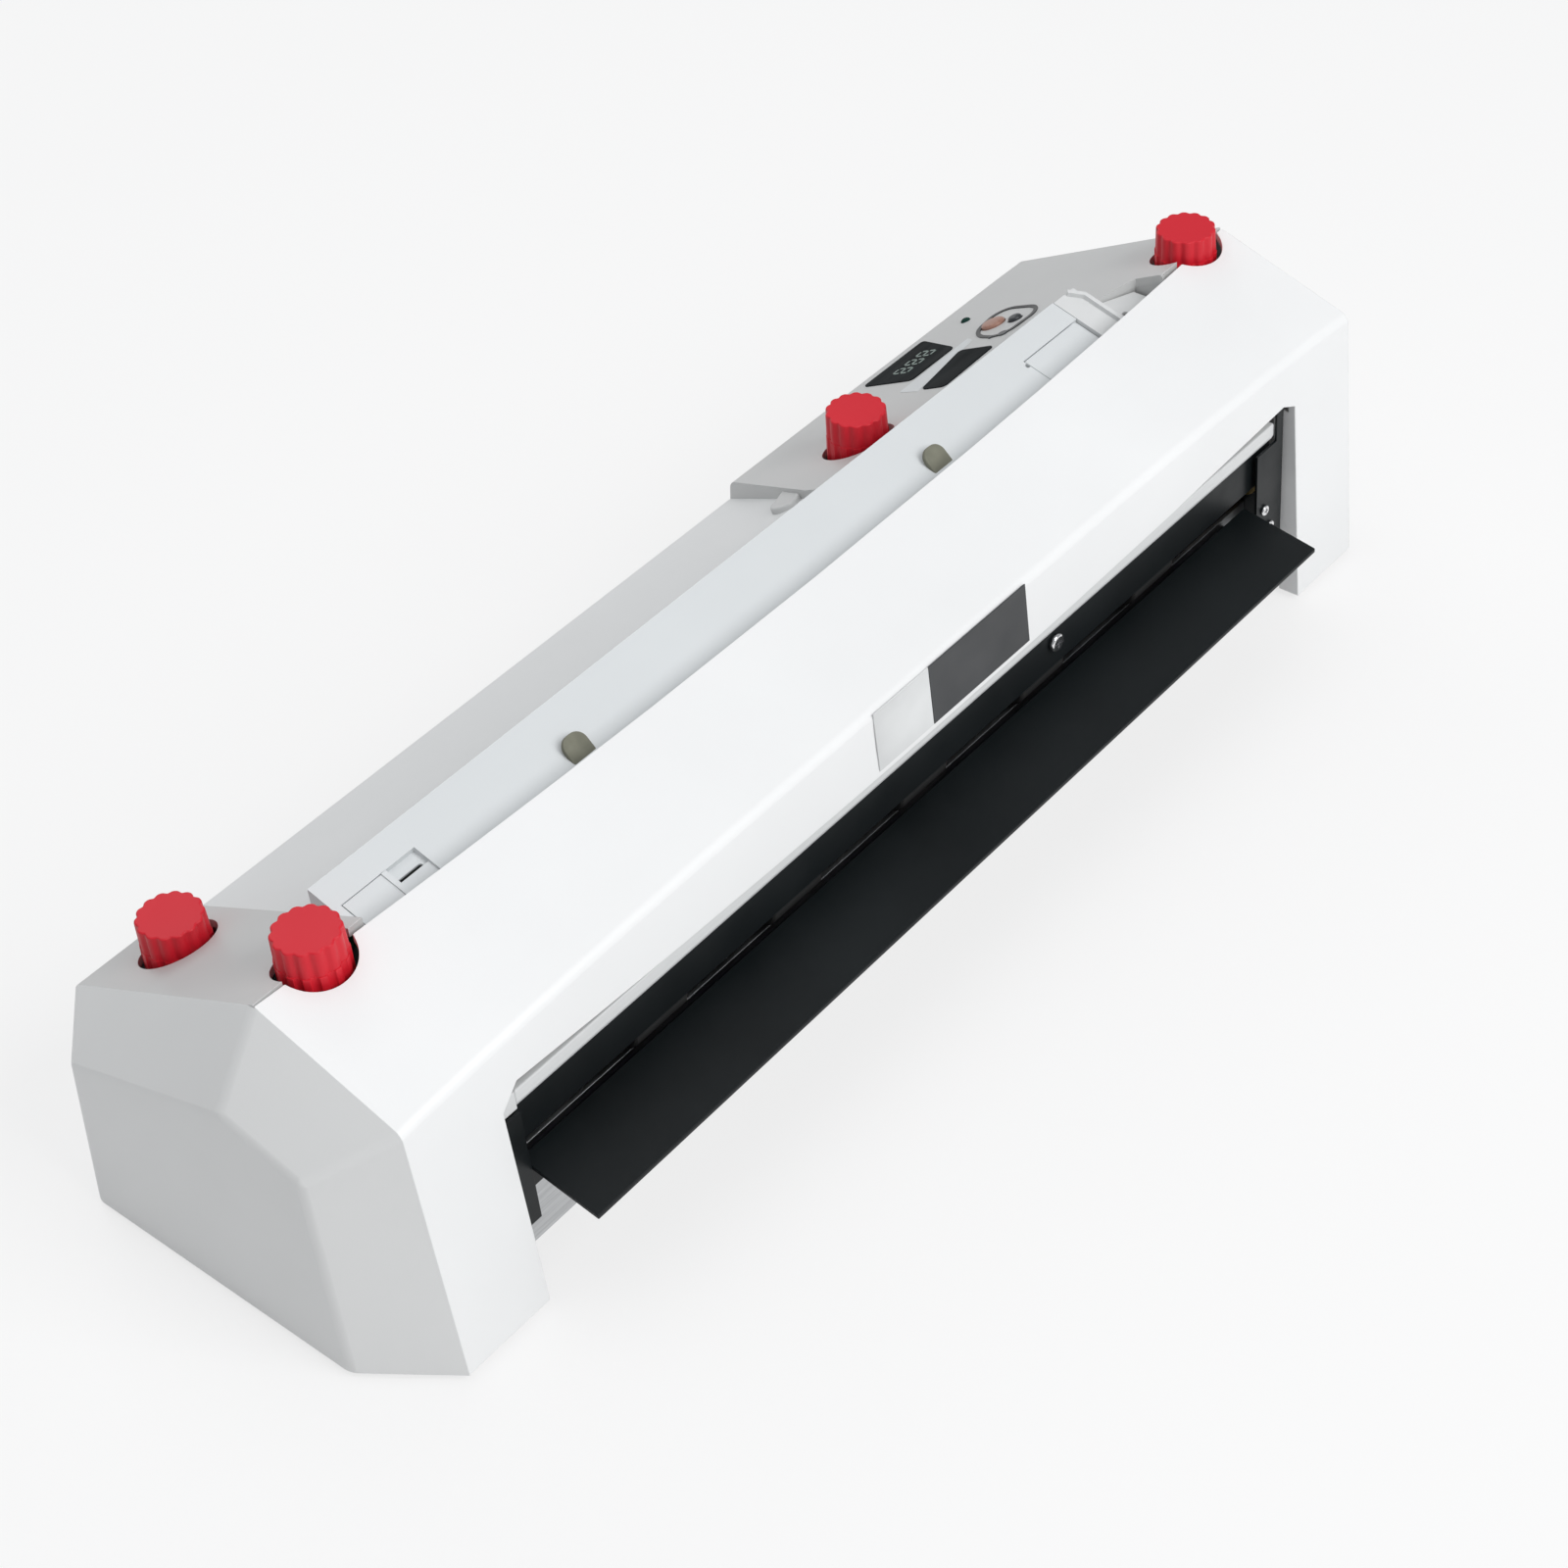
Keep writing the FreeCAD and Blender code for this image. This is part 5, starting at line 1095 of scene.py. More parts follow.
@dataclass(frozen=True)
class Slope:
    """The machine's rear slope, from the ridge down to the back edge, in millimetres."""

    ridge_y: float = -10.5
    ridge_z: float = 102.0
    back_y: float = 67.0
    back_z: float = 63.5

    @property
    def angle(self) -> float:
        """How far the slope falls, in radians."""
        return math.atan2(self.ridge_z - self.back_z, self.back_y - self.ridge_y)

    @property
    def ridge(self) -> Vector:
        """The ridge's middle, in metres."""
        return Vector(mm(0.0, self.ridge_y, self.ridge_z))

    @property
    def down(self) -> Vector:
        """Direction down the slope."""
        return Vector((0.0, math.cos(self.angle), -math.sin(self.angle)))

    @property
    def normal(self) -> Vector:
        """Direction straight out of the slope."""
        return Vector((0.0, math.sin(self.angle), math.cos(self.angle)))

    def height(self, y: float) -> float:
        """Height of the cover at a place across the machine, level in front of the ridge."""
        return self.ridge_z - (max(y, self.ridge_y) - self.ridge_y) * math.tan(self.angle)

    def lay(self, piece: Piece) -> Piece:
        """Lays a piece on the slope that was modelled flat, with y running down the slope.

        Args:
            piece: the piece, settled, with its x along the machine.

        Returns:
            The piece.
        """
        basis = Matrix((Vector((1.0, 0.0, 0.0)), self.down, self.normal)).transposed().to_4x4()
        basis.translation = self.ridge
        return Bench.place(piece, basis)


SLOPE = Slope()


@dataclass
class Covers:
    """The four outer mouldings, with rounded edges."""

    frame: Frame
    rim: float = 0.5 * MM
    cover_round: float = 2.2 * MM
    cap_round: float = 2.0 * MM
    segments: int = 4
    cap_wall: float = 2.0 * MM
    cap_fold: float = 12.0
    least_angle: float = 20.0
    cover_rim_angle: float = 35.0
    cover_shading: float = 32.0
    cap_rim_angle: float = 60.0
    cap_shading: float = 26.0
    cap_facing: float = 0.99
    seam_x: float = 198.5 * MM
    knee_y: float = 55.5 * MM
    knee_z: float = 85.0 * MM
    back_y: float = 66.0 * MM
    recess_left: float = -163.5 * MM
    recess_right: float = 59.8 * MM
    recess_drop: float = 0.8 * MM
    recess_facing: float = 0.5

    @staticmethod
    def outer(face: Face, middle: Vector) -> bool:
        """Says whether a face belongs to the outside skin."""
        return face.normal.dot(face.calc_center_median() - middle) > 0.0

    def on_crease(self, node: str, place: Vector) -> bool:
        """Says whether a place lies on one of a moulding's long outer creases.

        Args:
            node: name of the moulding's solid.
            place: the place in metres.

        Returns:
            Whether it does.
        """
        if node == "front_cover":
            return place.y < -self.knee_y and place.z > self.knee_z
        return place.y > self.back_y and abs(place.z - SLOPE.back_z * MM) < MM

    def moulding(self, node: str, finish: Finish) -> Piece:
        """One cover cast from its solid, with its outer creases and rims rounded.

        Args:
            node: name of the solid.
            finish: what it is moulded in.

        Returns:
            The finished cover.
        """
        piece = self.frame.cast(node, f"{node}_moulding")
        low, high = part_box(node)
        middle = (low + high) / 2

        def crease(place: Vector, one: Face, other: Face) -> bool:
            """Says whether an edge is a long crease between two outer faces."""
            return self.on_crease(node, place) and self.outer(one, middle) \
                and self.outer(other, middle)

        Bench.round_creases(piece, self.cover_round, self.segments, crease, self.least_angle)
        Bench.soften(piece, self.rim, Bench.FINE, self.cover_rim_angle, Miter.SHARP)
        Bench.smooth(piece, self.cover_shading)
        return self.frame.seat(finish.on(piece), node, [node])

    def cap(self, node: str) -> Piece:
        """One end cap, re-skinned over its solid so that its creases round cleanly.

        Args:
            node: name of the solid.

        Returns:
            The finished cap, open towards the covers and below.
        """
        piece = self.frame.cast(node, f"{node}_moulding")
        Bench.open(piece, whole=True)
        bpy.ops.mesh.convex_hull(join_triangles=False)
        bpy.ops.mesh.select_all(action="SELECT")
        bpy.ops.mesh.dissolve_limited(angle_limit=math.radians(self.cap_fold))
        Bench.close()
        low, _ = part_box(node)

        def crease(place: Vector, one: Face, other: Face) -> bool:
            """Says whether an edge lies beyond the seam and above the foot."""
            return abs(place.x) > self.seam_x + HAIR and place.z > low.z + MM

        def hidden(centre: Vector, way: Vector) -> bool:
            """Says whether a face looks down or towards the covers."""
            return way.z < -self.cap_facing or (
                abs(way.x) > self.cap_facing and abs(centre.x) < self.seam_x + MM)

        Bench.round_creases(piece, self.cap_round, self.segments, crease, self.least_angle)
        Bench.open(piece)
        Bench.pick_faces(piece, hidden)
        bpy.ops.mesh.delete(type="FACE")
        Bench.close()
        Bench.modify(piece, "SOLIDIFY", thickness=self.cap_wall, offset=-1.0,
                     use_even_offset=True)
        Bench.soften(piece, self.rim, Bench.FINE, self.cap_rim_angle)
        Bench.smooth(piece, self.cap_shading)
        return self.frame.seat(Finish.CAP.on(piece), node, [node])

    def rear(self) -> Piece:
        """The rear cover, whose recess is moulded paler than the slope round it.

        Returns:
            The finished cover.
        """
        piece = self.moulding("rear_cover", Finish.GREY)

        def in_recess(centre: Vector, normal: Vector) -> bool:
            """Says whether a face lies on the floor of the recess.

            Args:
                centre: the face's centre.
                normal: its normal.

            Returns:
                Whether it does.
            """
            depth = (SLOPE.ridge - centre).dot(SLOPE.normal)
            inside = self.recess_left < centre.x < self.recess_right
            return inside and depth > self.recess_drop and normal.z > self.recess_facing

        return Finish.WELL.over(piece, in_recess)

    def build(self) -> list[Piece]:
        """Builds the four mouldings."""
        return [self.moulding("front_cover", Finish.WHITE), self.rear(),
                self.cap("left_end_cap"), self.cap("right_end_cap")]


@dataclass
class Knobs:
    """The four fluted thumb knobs."""

    frame: Frame
    flutes: int = 14
    steps: int = 8
    step_share: float = 0.3
    height: float = 15.2
    draft: float = 0.955
    rim: float = 0.5
    rim_steps: int = 3
    stem_rim: float = 0.25
    shading: float = 40.0
    groove: tuple[float, ...] = (0.7, 0.5, 0.19, 0.02)
    names: tuple[str, ...] = ("left_rear_knob", "left_front_knob", "right_front_knob",
                              "console_knob")

    def grip(self, node: str) -> Piece:
        """Fluted grip of one knob, over its solid.

        Args:
            node: name of the knob's solid.

        Returns:
            The grip.
        """
        low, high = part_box(node)
        axis = Vector(((low.x + high.x) / 2, (low.y + high.y) / 2, 0.0))
        radius = (high.y - low.y) / 2
        sides = self.flutes * self.steps
        piece = Bench.drum(f"{node}_grip", (axis.x, axis.y, high.z - self.height * MM / 2),
                           radius, self.height * MM, sides)
        for offset, depth in enumerate(self.groove):
            factor = 1.0 - depth * MM / radius

            def in_groove(point: Vector, step: int = offset) -> bool:
                """Says whether a point is that many steps beside the middle of a flute.

                Args:
                    point: the point.
                    step: how many steps.

                Returns:
                    Whether it is.
                """
                turn = math.degrees(math.atan2(point.y - axis.y, point.x - axis.x))
                place = turn / 360.0 * sides
                beside = abs((place + self.steps / 2) % self.steps - self.steps / 2)
                return abs(beside - step) < self.step_share

            Bench.scale(piece, in_groove, (factor, factor, 1.0), axis)
        Bench.scale(piece, lambda point: point.z > high.z - MM,
                    (self.draft, self.draft, 1.0), axis)
        Bench.open(piece)
        Bench.pick_edges(piece, lambda one, other: min(one.z, other.z) > high.z - HAIR)
        Bench.bevel(self.rim * MM, self.rim_steps, clamp=True)
        Bench.close()
        return piece

    def stem(self, node: str) -> Piece:
        """Lower part of a knob, as its solid has it.

        Args:
            node: name of the knob's solid.

        Returns:
            The stem.
        """
        piece = self.frame.cast(node, f"{node}_cap")
        _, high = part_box(node)
        Bench.open(piece, whole=True)
        bpy.ops.mesh.bisect(plane_co=(0.0, 0.0, high.z - self.height * MM / 2),
                            plane_no=Bench.UP, clear_outer=True, use_fill=True)
        Bench.close()
        return Bench.soften(piece, self.stem_rim * MM, Bench.FINE, self.shading)

    def build(self) -> list[Piece]:
        """Builds the knobs.

        Returns:
            The knobs.
        """
        made = []
        for node in self.names:
            piece = Bench.join(f"{node}_cap", [self.stem(node), self.grip(node)])
            Bench.smooth(piece, self.shading)
            made.append(self.frame.seat(Finish.RED.on(piece), node, [node]))
        return made


@dataclass
class Fittings:
    """Visible solids that need soft edges and their finish."""

    frame: Frame
    shading: float = 32.0
    pocket: float = 10.0 * MM
    pocket_depth: Pair = (0.2 * MM, 2.0 * MM)
    tray_front: Pair = (-13.0 * MM, 93.6 * MM)
    tray_back: Pair = (9.2 * MM, 100.1 * MM)

    SOFTENED: ClassVar[tuple[tuple[str, Finish, float], ...]] = (
        ("infeed_tray", Finish.TRAY, 0.5), ("left_guide", Finish.TRAY, 0.3),
        ("sensor_plate", Finish.TRAY, 0.25), ("right_fence", Finish.PALE, 0.3),
        ("exit_bar", Finish.PALE, 0.5), ("rubber_feet", Finish.BLACK_RUBBER, 0.8),
        ("switch_rocker", Finish.DARK_KEY, 0.5), ("switch_bezel", Finish.BLACK_PLASTIC, 0.4),
        ("console_windows", Finish.WINDOW, 0.3), ("start_key", Finish.ORANGE, 0.5),
        ("stop_key", Finish.DARK_KEY, 0.5), ("status_led", Finish.LAMP, 0.4),
        ("base_pan", Finish.ZINC, 0.4), ("exit_apron", Finish.BLACK_SHEET, 0.3),
        ("exit_guard", Finish.BLACK_SHEET, 0.3),
    )

    def tray_z(self, y: float) -> float:
        """Height of the tray's surface at a place across the machine, in metres."""
        (front_y, front_z), (back_y, back_z) = self.tray_front, self.tray_back
        return front_z + (y - front_y) * (back_z - front_z) / (back_y - front_y)

    def close_pockets(self, tray: Piece) -> None:
        """Closes the tray's surface round the roots of the two tongues.

        Args:
            tray: the tray's copy.
        """
        low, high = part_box("friction_pads")
        spans = ((low.x - MM, low.x + self.pocket), (high.x - self.pocket, high.x + MM))

        def in_pocket(centre: Vector, way: Vector) -> bool:
            """Says whether a face lies a little under the tray's surface, at a tongue.

            Args:
                centre: the face's centre.
                way: its normal, which doesn't matter here.

            Returns:
                Whether it does.
            """
            depth = self.tray_z(centre.y) - centre.z
            return any(start < centre.x < end for start, end in spans) \
                and self.pocket_depth[0] < depth < self.pocket_depth[1]

        Bench.open(tray)
        Bench.pick_faces(tray, in_pocket)
        bpy.ops.mesh.delete(type="FACE")
        bpy.ops.mesh.select_mode(type="VERT")
        bpy.ops.mesh.select_non_manifold()
        bpy.ops.mesh.fill_holes(sides=0)
        Bench.close()

    def build(self) -> list[Piece]:
        """Builds the softened copies.

        Returns:
            The copies.
        """
        made = []
        for node, finish, width in self.SOFTENED:
            piece = self.frame.cast(node, f"{node}_finished")
            if node == "infeed_tray":
                self.close_pockets(piece)
            Bench.soften(piece, width * MM, Bench.FINE)
            Bench.smooth(piece, self.shading)
            made.append(self.frame.seat(finish.on(piece), node, [node]))
        return made


@dataclass
class Tongues:
    """The two rubber-faced tongues that rise from the mouth and lead the sheet in."""

    frame: Frame
    width: float = 8.0
    length: float = 10.6
    thickness: float = 1.5
    corner: float = 3.4
    corner_steps: int = 8
    edge: float = 0.35
    edge_angle: float = 40.0
    shading: float = 35.0
    rise: float = math.radians(44.0)
    root_y: float = -11.7
    root_z: float = 92.3
    centres: Pair = (-84.0, 64.2)

    def build(self) -> list[Piece]:
        """Builds one tongue and copies it.

        Returns:
            The left tongue, which stands for the pads, and the right one.
        """
        half = self.width / 2
        corners = ((-half, 0.0), (half, 0.0), (half, self.length), (-half, self.length))
        left = Bench.slab("left_lead_in_tongue", corners, -self.thickness, 0.0, self.corner,
                          self.corner_steps)
        Bench.soften(left, self.edge * MM, angle=self.edge_angle)
        Bench.smooth(left, self.shading)
        place = Matrix.Translation(mm(self.centres[0], self.root_y, self.root_z))
        Bench.place(left, place @ Matrix.Rotation(self.rise, 4, "X"))
        Finish.OLIVE.on(left)
        right = Bench.copy(left, "right_lead_in_tongue",
                           mm(self.centres[1] - self.centres[0], 0.0, 0.0))
        return [self.frame.seat(left, "friction_pads", ["friction_pads"]),
                self.frame.seat(right, "friction_pads")]


@dataclass
class Console:
    """Printed films, a band of painted highlight, display digits, key surround and moulded
    details of the console.

    A corner or place has two numbers: along the machine, and down the slope from the ridge.
    """

    frame: Frame
    film: float = 0.3
    film_edge: float = 0.08
    film_edge_angle: float = 60.0
    sink: float = -0.2
    corner: float = 1.9
    display: Corners = ((113.6, 59.1), (134.7, 59.1), (143.4, 80.9), (113.6, 80.9))
    second: Corners = ((105.8, 37.8), (131.6, 39.1), (131.6, 53.9), (105.8, 47.9))
    band: Corners = ((104.9, 48.4), (138.6, 54.6), (140.4, 58.2), (106.0, 57.6))
    band_top: float = 0.15
    band_corner: float = 0.8
    surround: Corners = ((136.4, 40.6), (158.6, 39.2), (161.0, 61.6), (140.8, 58.4))
    surround_corner: float = 8.0
    surround_steps: int = 10
    surround_width: float = 1.4
    spots: tuple[Place, ...] = ((140.2, 42.9, 1.7), (138.4, 46.6, 0.8))
    spot_middle: float = 0.1
    spot_height: float = 0.6
    spot_sides: int = 32
    spot_round: float = 0.2
    spot_shading: float = 35.0
    digit_x: tuple[float, ...] = (121.6, 127.2, 132.8)
    digit_y: float = 70.0
    digit_width: float = 3.3
    digit_height: float = 6.4
    segment: float = 0.7
    segment_gap: float = 1.5
    segment_sink: float = 0.1
    segment_proud: float = 0.06
    segment_edge: float = 0.12
    lug_x: float = 42.6
    lug_y: float = 49.0
    lug_depth: float = 1.2
    lug_height: float = 7.0
    lug_radius: float = 4.6
    lug_sides: int = 40
    lug_reach: Pair = (6.0, 3.0)
    lug_round: float = 0.9
    lug_steps: int = 4
    lug_shading: float = 40.0

    def sheet(self, name: str, corners: Corners, top: float, corner: float,
              finish: Finish) -> Piece:
        """One printed film with rounded corners, laid on the slope.

        Args:
            name: name of the piece.
            corners: its four corners on the slope, in millimetres.
            top: how far its top stands over the slope, in millimetres.
            corner: rounding of its corners, in millimetres.
            finish: what it is printed in, or the colour of the painted highlight.

        Returns:
            The film.
        """
        piece = Bench.slab(name, corners, self.sink, top, corner)
        Bench.soften(piece, self.film_edge * MM, Bench.FINE, self.film_edge_angle)
        Bench.smooth(piece)
        return finish.on(SLOPE.lay(piece))

    def key_surround(self) -> Piece:
        """Dark printed line round the keys.

        Returns:
            The line, laid on the slope.
        """
        piece = Bench.slab("key_surround", self.surround, self.sink, self.film,
                           self.surround_corner, self.surround_steps)
        Bench.hoop(piece, self.surround_width * MM)
        Bench.smooth(piece)
        return Finish.FILM.on(SLOPE.lay(piece))

    def spot(self, number: int, x: float, y: float, radius: float) -> Piece:
        """Small dark button face beside the keys.

        Args:
            number: which button it is.
            x: its place along the machine, in millimetres.
            y: its place down the slope, in millimetres.
            radius: its radius, in millimetres.

        Returns:
            The button face, laid on the slope.
        """
        piece = Bench.drum(f"console_spot_{number}", mm(x, y, self.spot_middle), radius * MM,
                           self.spot_height * MM, self.spot_sides)
        Bench.soften(piece, self.spot_round * MM)
        Bench.smooth(piece, self.spot_shading)
        return Finish.DARK_KEY.on(SLOPE.lay(piece))

    def digit(self, name: str, x: float) -> Piece:
        """Seven unlit segments of one digit.

        Args:
            name: name of the piece.
            x: middle of the digit, in millimetres.

        Returns:
            The digit, laid on the slope.
        """
        half, third = self.digit_width / 2, self.digit_height / 2
        thick = self.segment / 2
        low, high = self.film - self.segment_sink, self.film + self.segment_proud
        reach = third / 2 - thick * self.segment_gap
        rows = [(0.0, self.digit_y + row * third, half - thick, thick) for row in (-1, 0, 1)]
        posts = [(side * half, self.digit_y + row * third / 2, thick, reach)
                 for side in (-1, 1) for row in (-1, 1)]
        parts = [Bench.box(name, mm(x + along - wide, y - tall, low),
                           mm(x + along + wide, y + tall, high))
                 for along, y, wide, tall in rows + posts]
        piece = Bench.join(name, parts)
        Bench.soften(piece, self.segment_edge * MM, Bench.FINE, self.film_edge_angle)
        return Finish.SEGMENT.on(SLOPE.lay(piece))

    def lug(self) -> Piece:
        """Round lug that stands in the recess against the console's left wall.

        Returns:
            The lug, laid on the slope.
        """
        middle = -self.lug_depth - self.lug_height / 2
        piece = Bench.drum("recess_lug", mm(self.lug_x, self.lug_y, middle),
                           self.lug_radius * MM, self.lug_height * MM, self.lug_sides)
        Bench.shift(piece, lambda point: point.x > self.lug_x * MM, mm(*self.lug_reach, 0.0))
        Bench.soften(piece, self.lug_round * MM, self.lug_steps)
        Bench.smooth(piece, self.lug_shading)
        return Finish.GREY.on(SLOPE.lay(piece))

    def build(self) -> list[Piece]:
        """Builds the console's films, digits and trims.

        Returns:
            The pieces, each riding with the rear cover.
        """
        made = [
            self.sheet("display_film", self.display, self.film, self.corner, Finish.WINDOW),
            self.sheet("second_film", self.second, self.film, self.corner, Finish.WINDOW),
            # Painted highlight: the band is the cover's raised strip between the two windows,
            # painted lighter where it catches the light.
            self.sheet("pale_band", self.band, self.band_top, self.band_corner, Finish.TRAY),
            self.key_surround(), self.lug()]
        made += [self.spot(number, *spot) for number, spot in enumerate(self.spots, 1)]
        made += [self.digit(f"display_digit_{number}", x)
                 for number, x in enumerate(self.digit_x, 1)]
        return [self.frame.seat(piece, "rear_cover") for piece in made]


@dataclass
class Skirt:
    """The rear cover's upright wall round the pocket behind the fence."""

    frame: Frame
    foot: float = 90.5
    sheet: float = 1.2
    edge: float = 0.1
    back: Pair = (151.1, 6.1)
    corner: Pair = (167.65, -1.4)
    front: Pair = (167.65, -11.0)
    below: float = 0.6

    def wall(self, start: Pair, end: Pair) -> Piece:
        """Upright wall between two places of the pocket's edge, its top under the slope.

        Args:
            start: x and y of its back end, in millimetres.
            end: x and y of its front end, in millimetres.

        Returns:
            The wall.
        """
        length = math.dist(start, end)
        start_top, end_top = (SLOPE.height(place[1]) - self.below for place in (start, end))
        piece = Bench.box("pocket_wall", mm(0.0, 0.0, self.foot),
                          mm(length, self.sheet, start_top))
        Bench.shift(piece, lambda point: point.x > length * MM / 2
                    and point.z > self.foot * MM + HAIR, mm(0.0, 0.0, end_top - start_top))
        turn = math.atan2(end[1] - start[1], end[0] - start[0])
        return Bench.place(piece, Matrix.Translation(mm(*start, 0.0))
                           @ Matrix.Rotation(turn, 4, "Z"))

    def build(self) -> list[Piece]:
        """Builds the two walls as one piece.

        Returns:
            The piece.
        """
        piece = Bench.join("pocket_skirt", [self.wall(self.back, self.corner),
                                            self.wall(self.corner, self.front)])
        Bench.smooth(Bench.soften(piece, self.edge * MM, Bench.FINE))
        return [self.frame.seat(Finish.GREY.on(piece), "rear_cover")]


@dataclass
class Flanges:
    """The black sheet flanges that close the two ends of the mouth; their black is also painted
    shade for the dark ends of the mouth.
    """

    frame: Frame
    inner: float = 162.8
    left_outer: float = 169.1
    left_top: float = 62.4
    right_outer: float = 166.2
    right_top: float = 73.6
    foot: float = 24.0
    front: float = 54.9
    sheet: float = 0.8
    edge: float = 0.15
    tongue: float = 10.0
    tongue_top: float = 62.3
    bar_gap: float = 0.05
    bar_edge: float = 0.3

    def flange(self, side: int) -> Piece:
        """One flange, which on the right has a tongue towards the apron.

        Args:
            side: 1 for the right-hand end, -1 for the left-hand one.

        Returns:
            The flange.
        """
        name, outer, top = ("right_mouth_flange", self.right_outer, self.right_top) \
            if side > 0 else ("left_mouth_flange", self.left_outer, self.left_top)
        left, right = sorted((side * self.inner, side * outer))
        piece = Bench.box(name, mm(left, -self.front, self.foot),
                          mm(right, -self.front + self.sheet, top))
        if side > 0:
            Bench.open(piece, whole=True)
            bpy.ops.mesh.bisect(plane_co=mm(0.0, 0.0, self.tongue_top), plane_no=Bench.UP)
            Bench.pick_faces(piece, lambda centre, way: way.x < -Bench.FACING
                             and centre.z < self.tongue_top * MM)
            bpy.ops.mesh.extrude_region_move(
                TRANSFORM_OT_translate={"value": mm(-self.tongue, 0.0, 0.0)})
            Bench.close()
        Bench.smooth(Bench.soften(piece, self.edge * MM, Bench.FINE))
        # Painted shade: the black sheet also darkens the end of the mouth, which lies in shade.
        return self.frame.seat(Finish.BLACK_SHEET.on(piece), "exit_guard")

    def bar_end(self) -> Piece:
        """The exit bar's left end, which runs on to the leg.

        Returns:
            The bar's end.
        """
        low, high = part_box("exit_bar")
        piece = Bench.box("exit_bar_end", (-self.left_outer * MM, low.y, low.z),
                          (low.x - self.bar_gap * MM, high.y, high.z))
        Bench.smooth(Bench.soften(piece, self.bar_edge * MM, Bench.FINE))
        return self.frame.seat(Finish.PALE.on(piece), "exit_bar")

    def build(self) -> list[Piece]:
        """Builds both flanges and the bar's end."""
        return [self.flange(-1), self.flange(1), self.bar_end()]


@dataclass
class Plates:
    """Two bare plates stuck on the front face, cut from a skin of that face."""

    frame: Frame
    dark: Pair = (-4.0, 38.0)
    pale: Pair = (-27.0, -4.2)
    low_z: float = 72.0
    high_z: float = 91.0
    front_y: float = -45.0
    facing: float = 0.8
    thickness: float = 0.35
    edge: float = 0.1
    edge_angle: float = 50.0

    def plate(self, name: str, span: Pair, finish: Finish) -> Piece:
        """One plate between two places along the front.

        Args:
            name: name of the piece.
            span: left and right end, in millimetres.
            finish: what its face is printed in.

        Returns:
            The plate.
        """
        piece = self.frame.cast("front_cover", name)
        Bench.open(piece)
        along = (1.0, 0.0, 0.0)
        cuts = (((span[0], 0.0, 0.0), along, False), ((span[1], 0.0, 0.0), along, True),
                ((0.0, 0.0, self.low_z), Bench.UP, False),
                ((0.0, 0.0, self.high_z), Bench.UP, True))
        for place, normal, beyond in cuts:
            bpy.ops.mesh.select_all(action="SELECT")
            bpy.ops.mesh.bisect(plane_co=mm(*place), plane_no=normal, clear_inner=not beyond,
                                clear_outer=beyond)
        bpy.ops.mesh.select_all(action="DESELECT")
        if Bench.pick_faces(piece, lambda centre, way: way.y > -self.facing
                            or centre.y > self.front_y * MM):
            bpy.ops.mesh.delete(type="FACE")
        Bench.close()
        Bench.modify(piece, "SOLIDIFY", thickness=self.thickness * MM, offset=1.0)
        Bench.outward(piece)
        Bench.soften(piece, self.edge * MM, Bench.FINE, self.edge_angle)
        Bench.smooth(piece)
        return self.frame.seat(finish.on(piece), "front_cover")

    def build(self) -> list[Piece]:
        """Builds both plates."""
        return [self.plate("dark_plate", self.dark, Finish.PLATE_DARK),
                self.plate("pale_plate", self.pale, Finish.PLATE_PALE)]


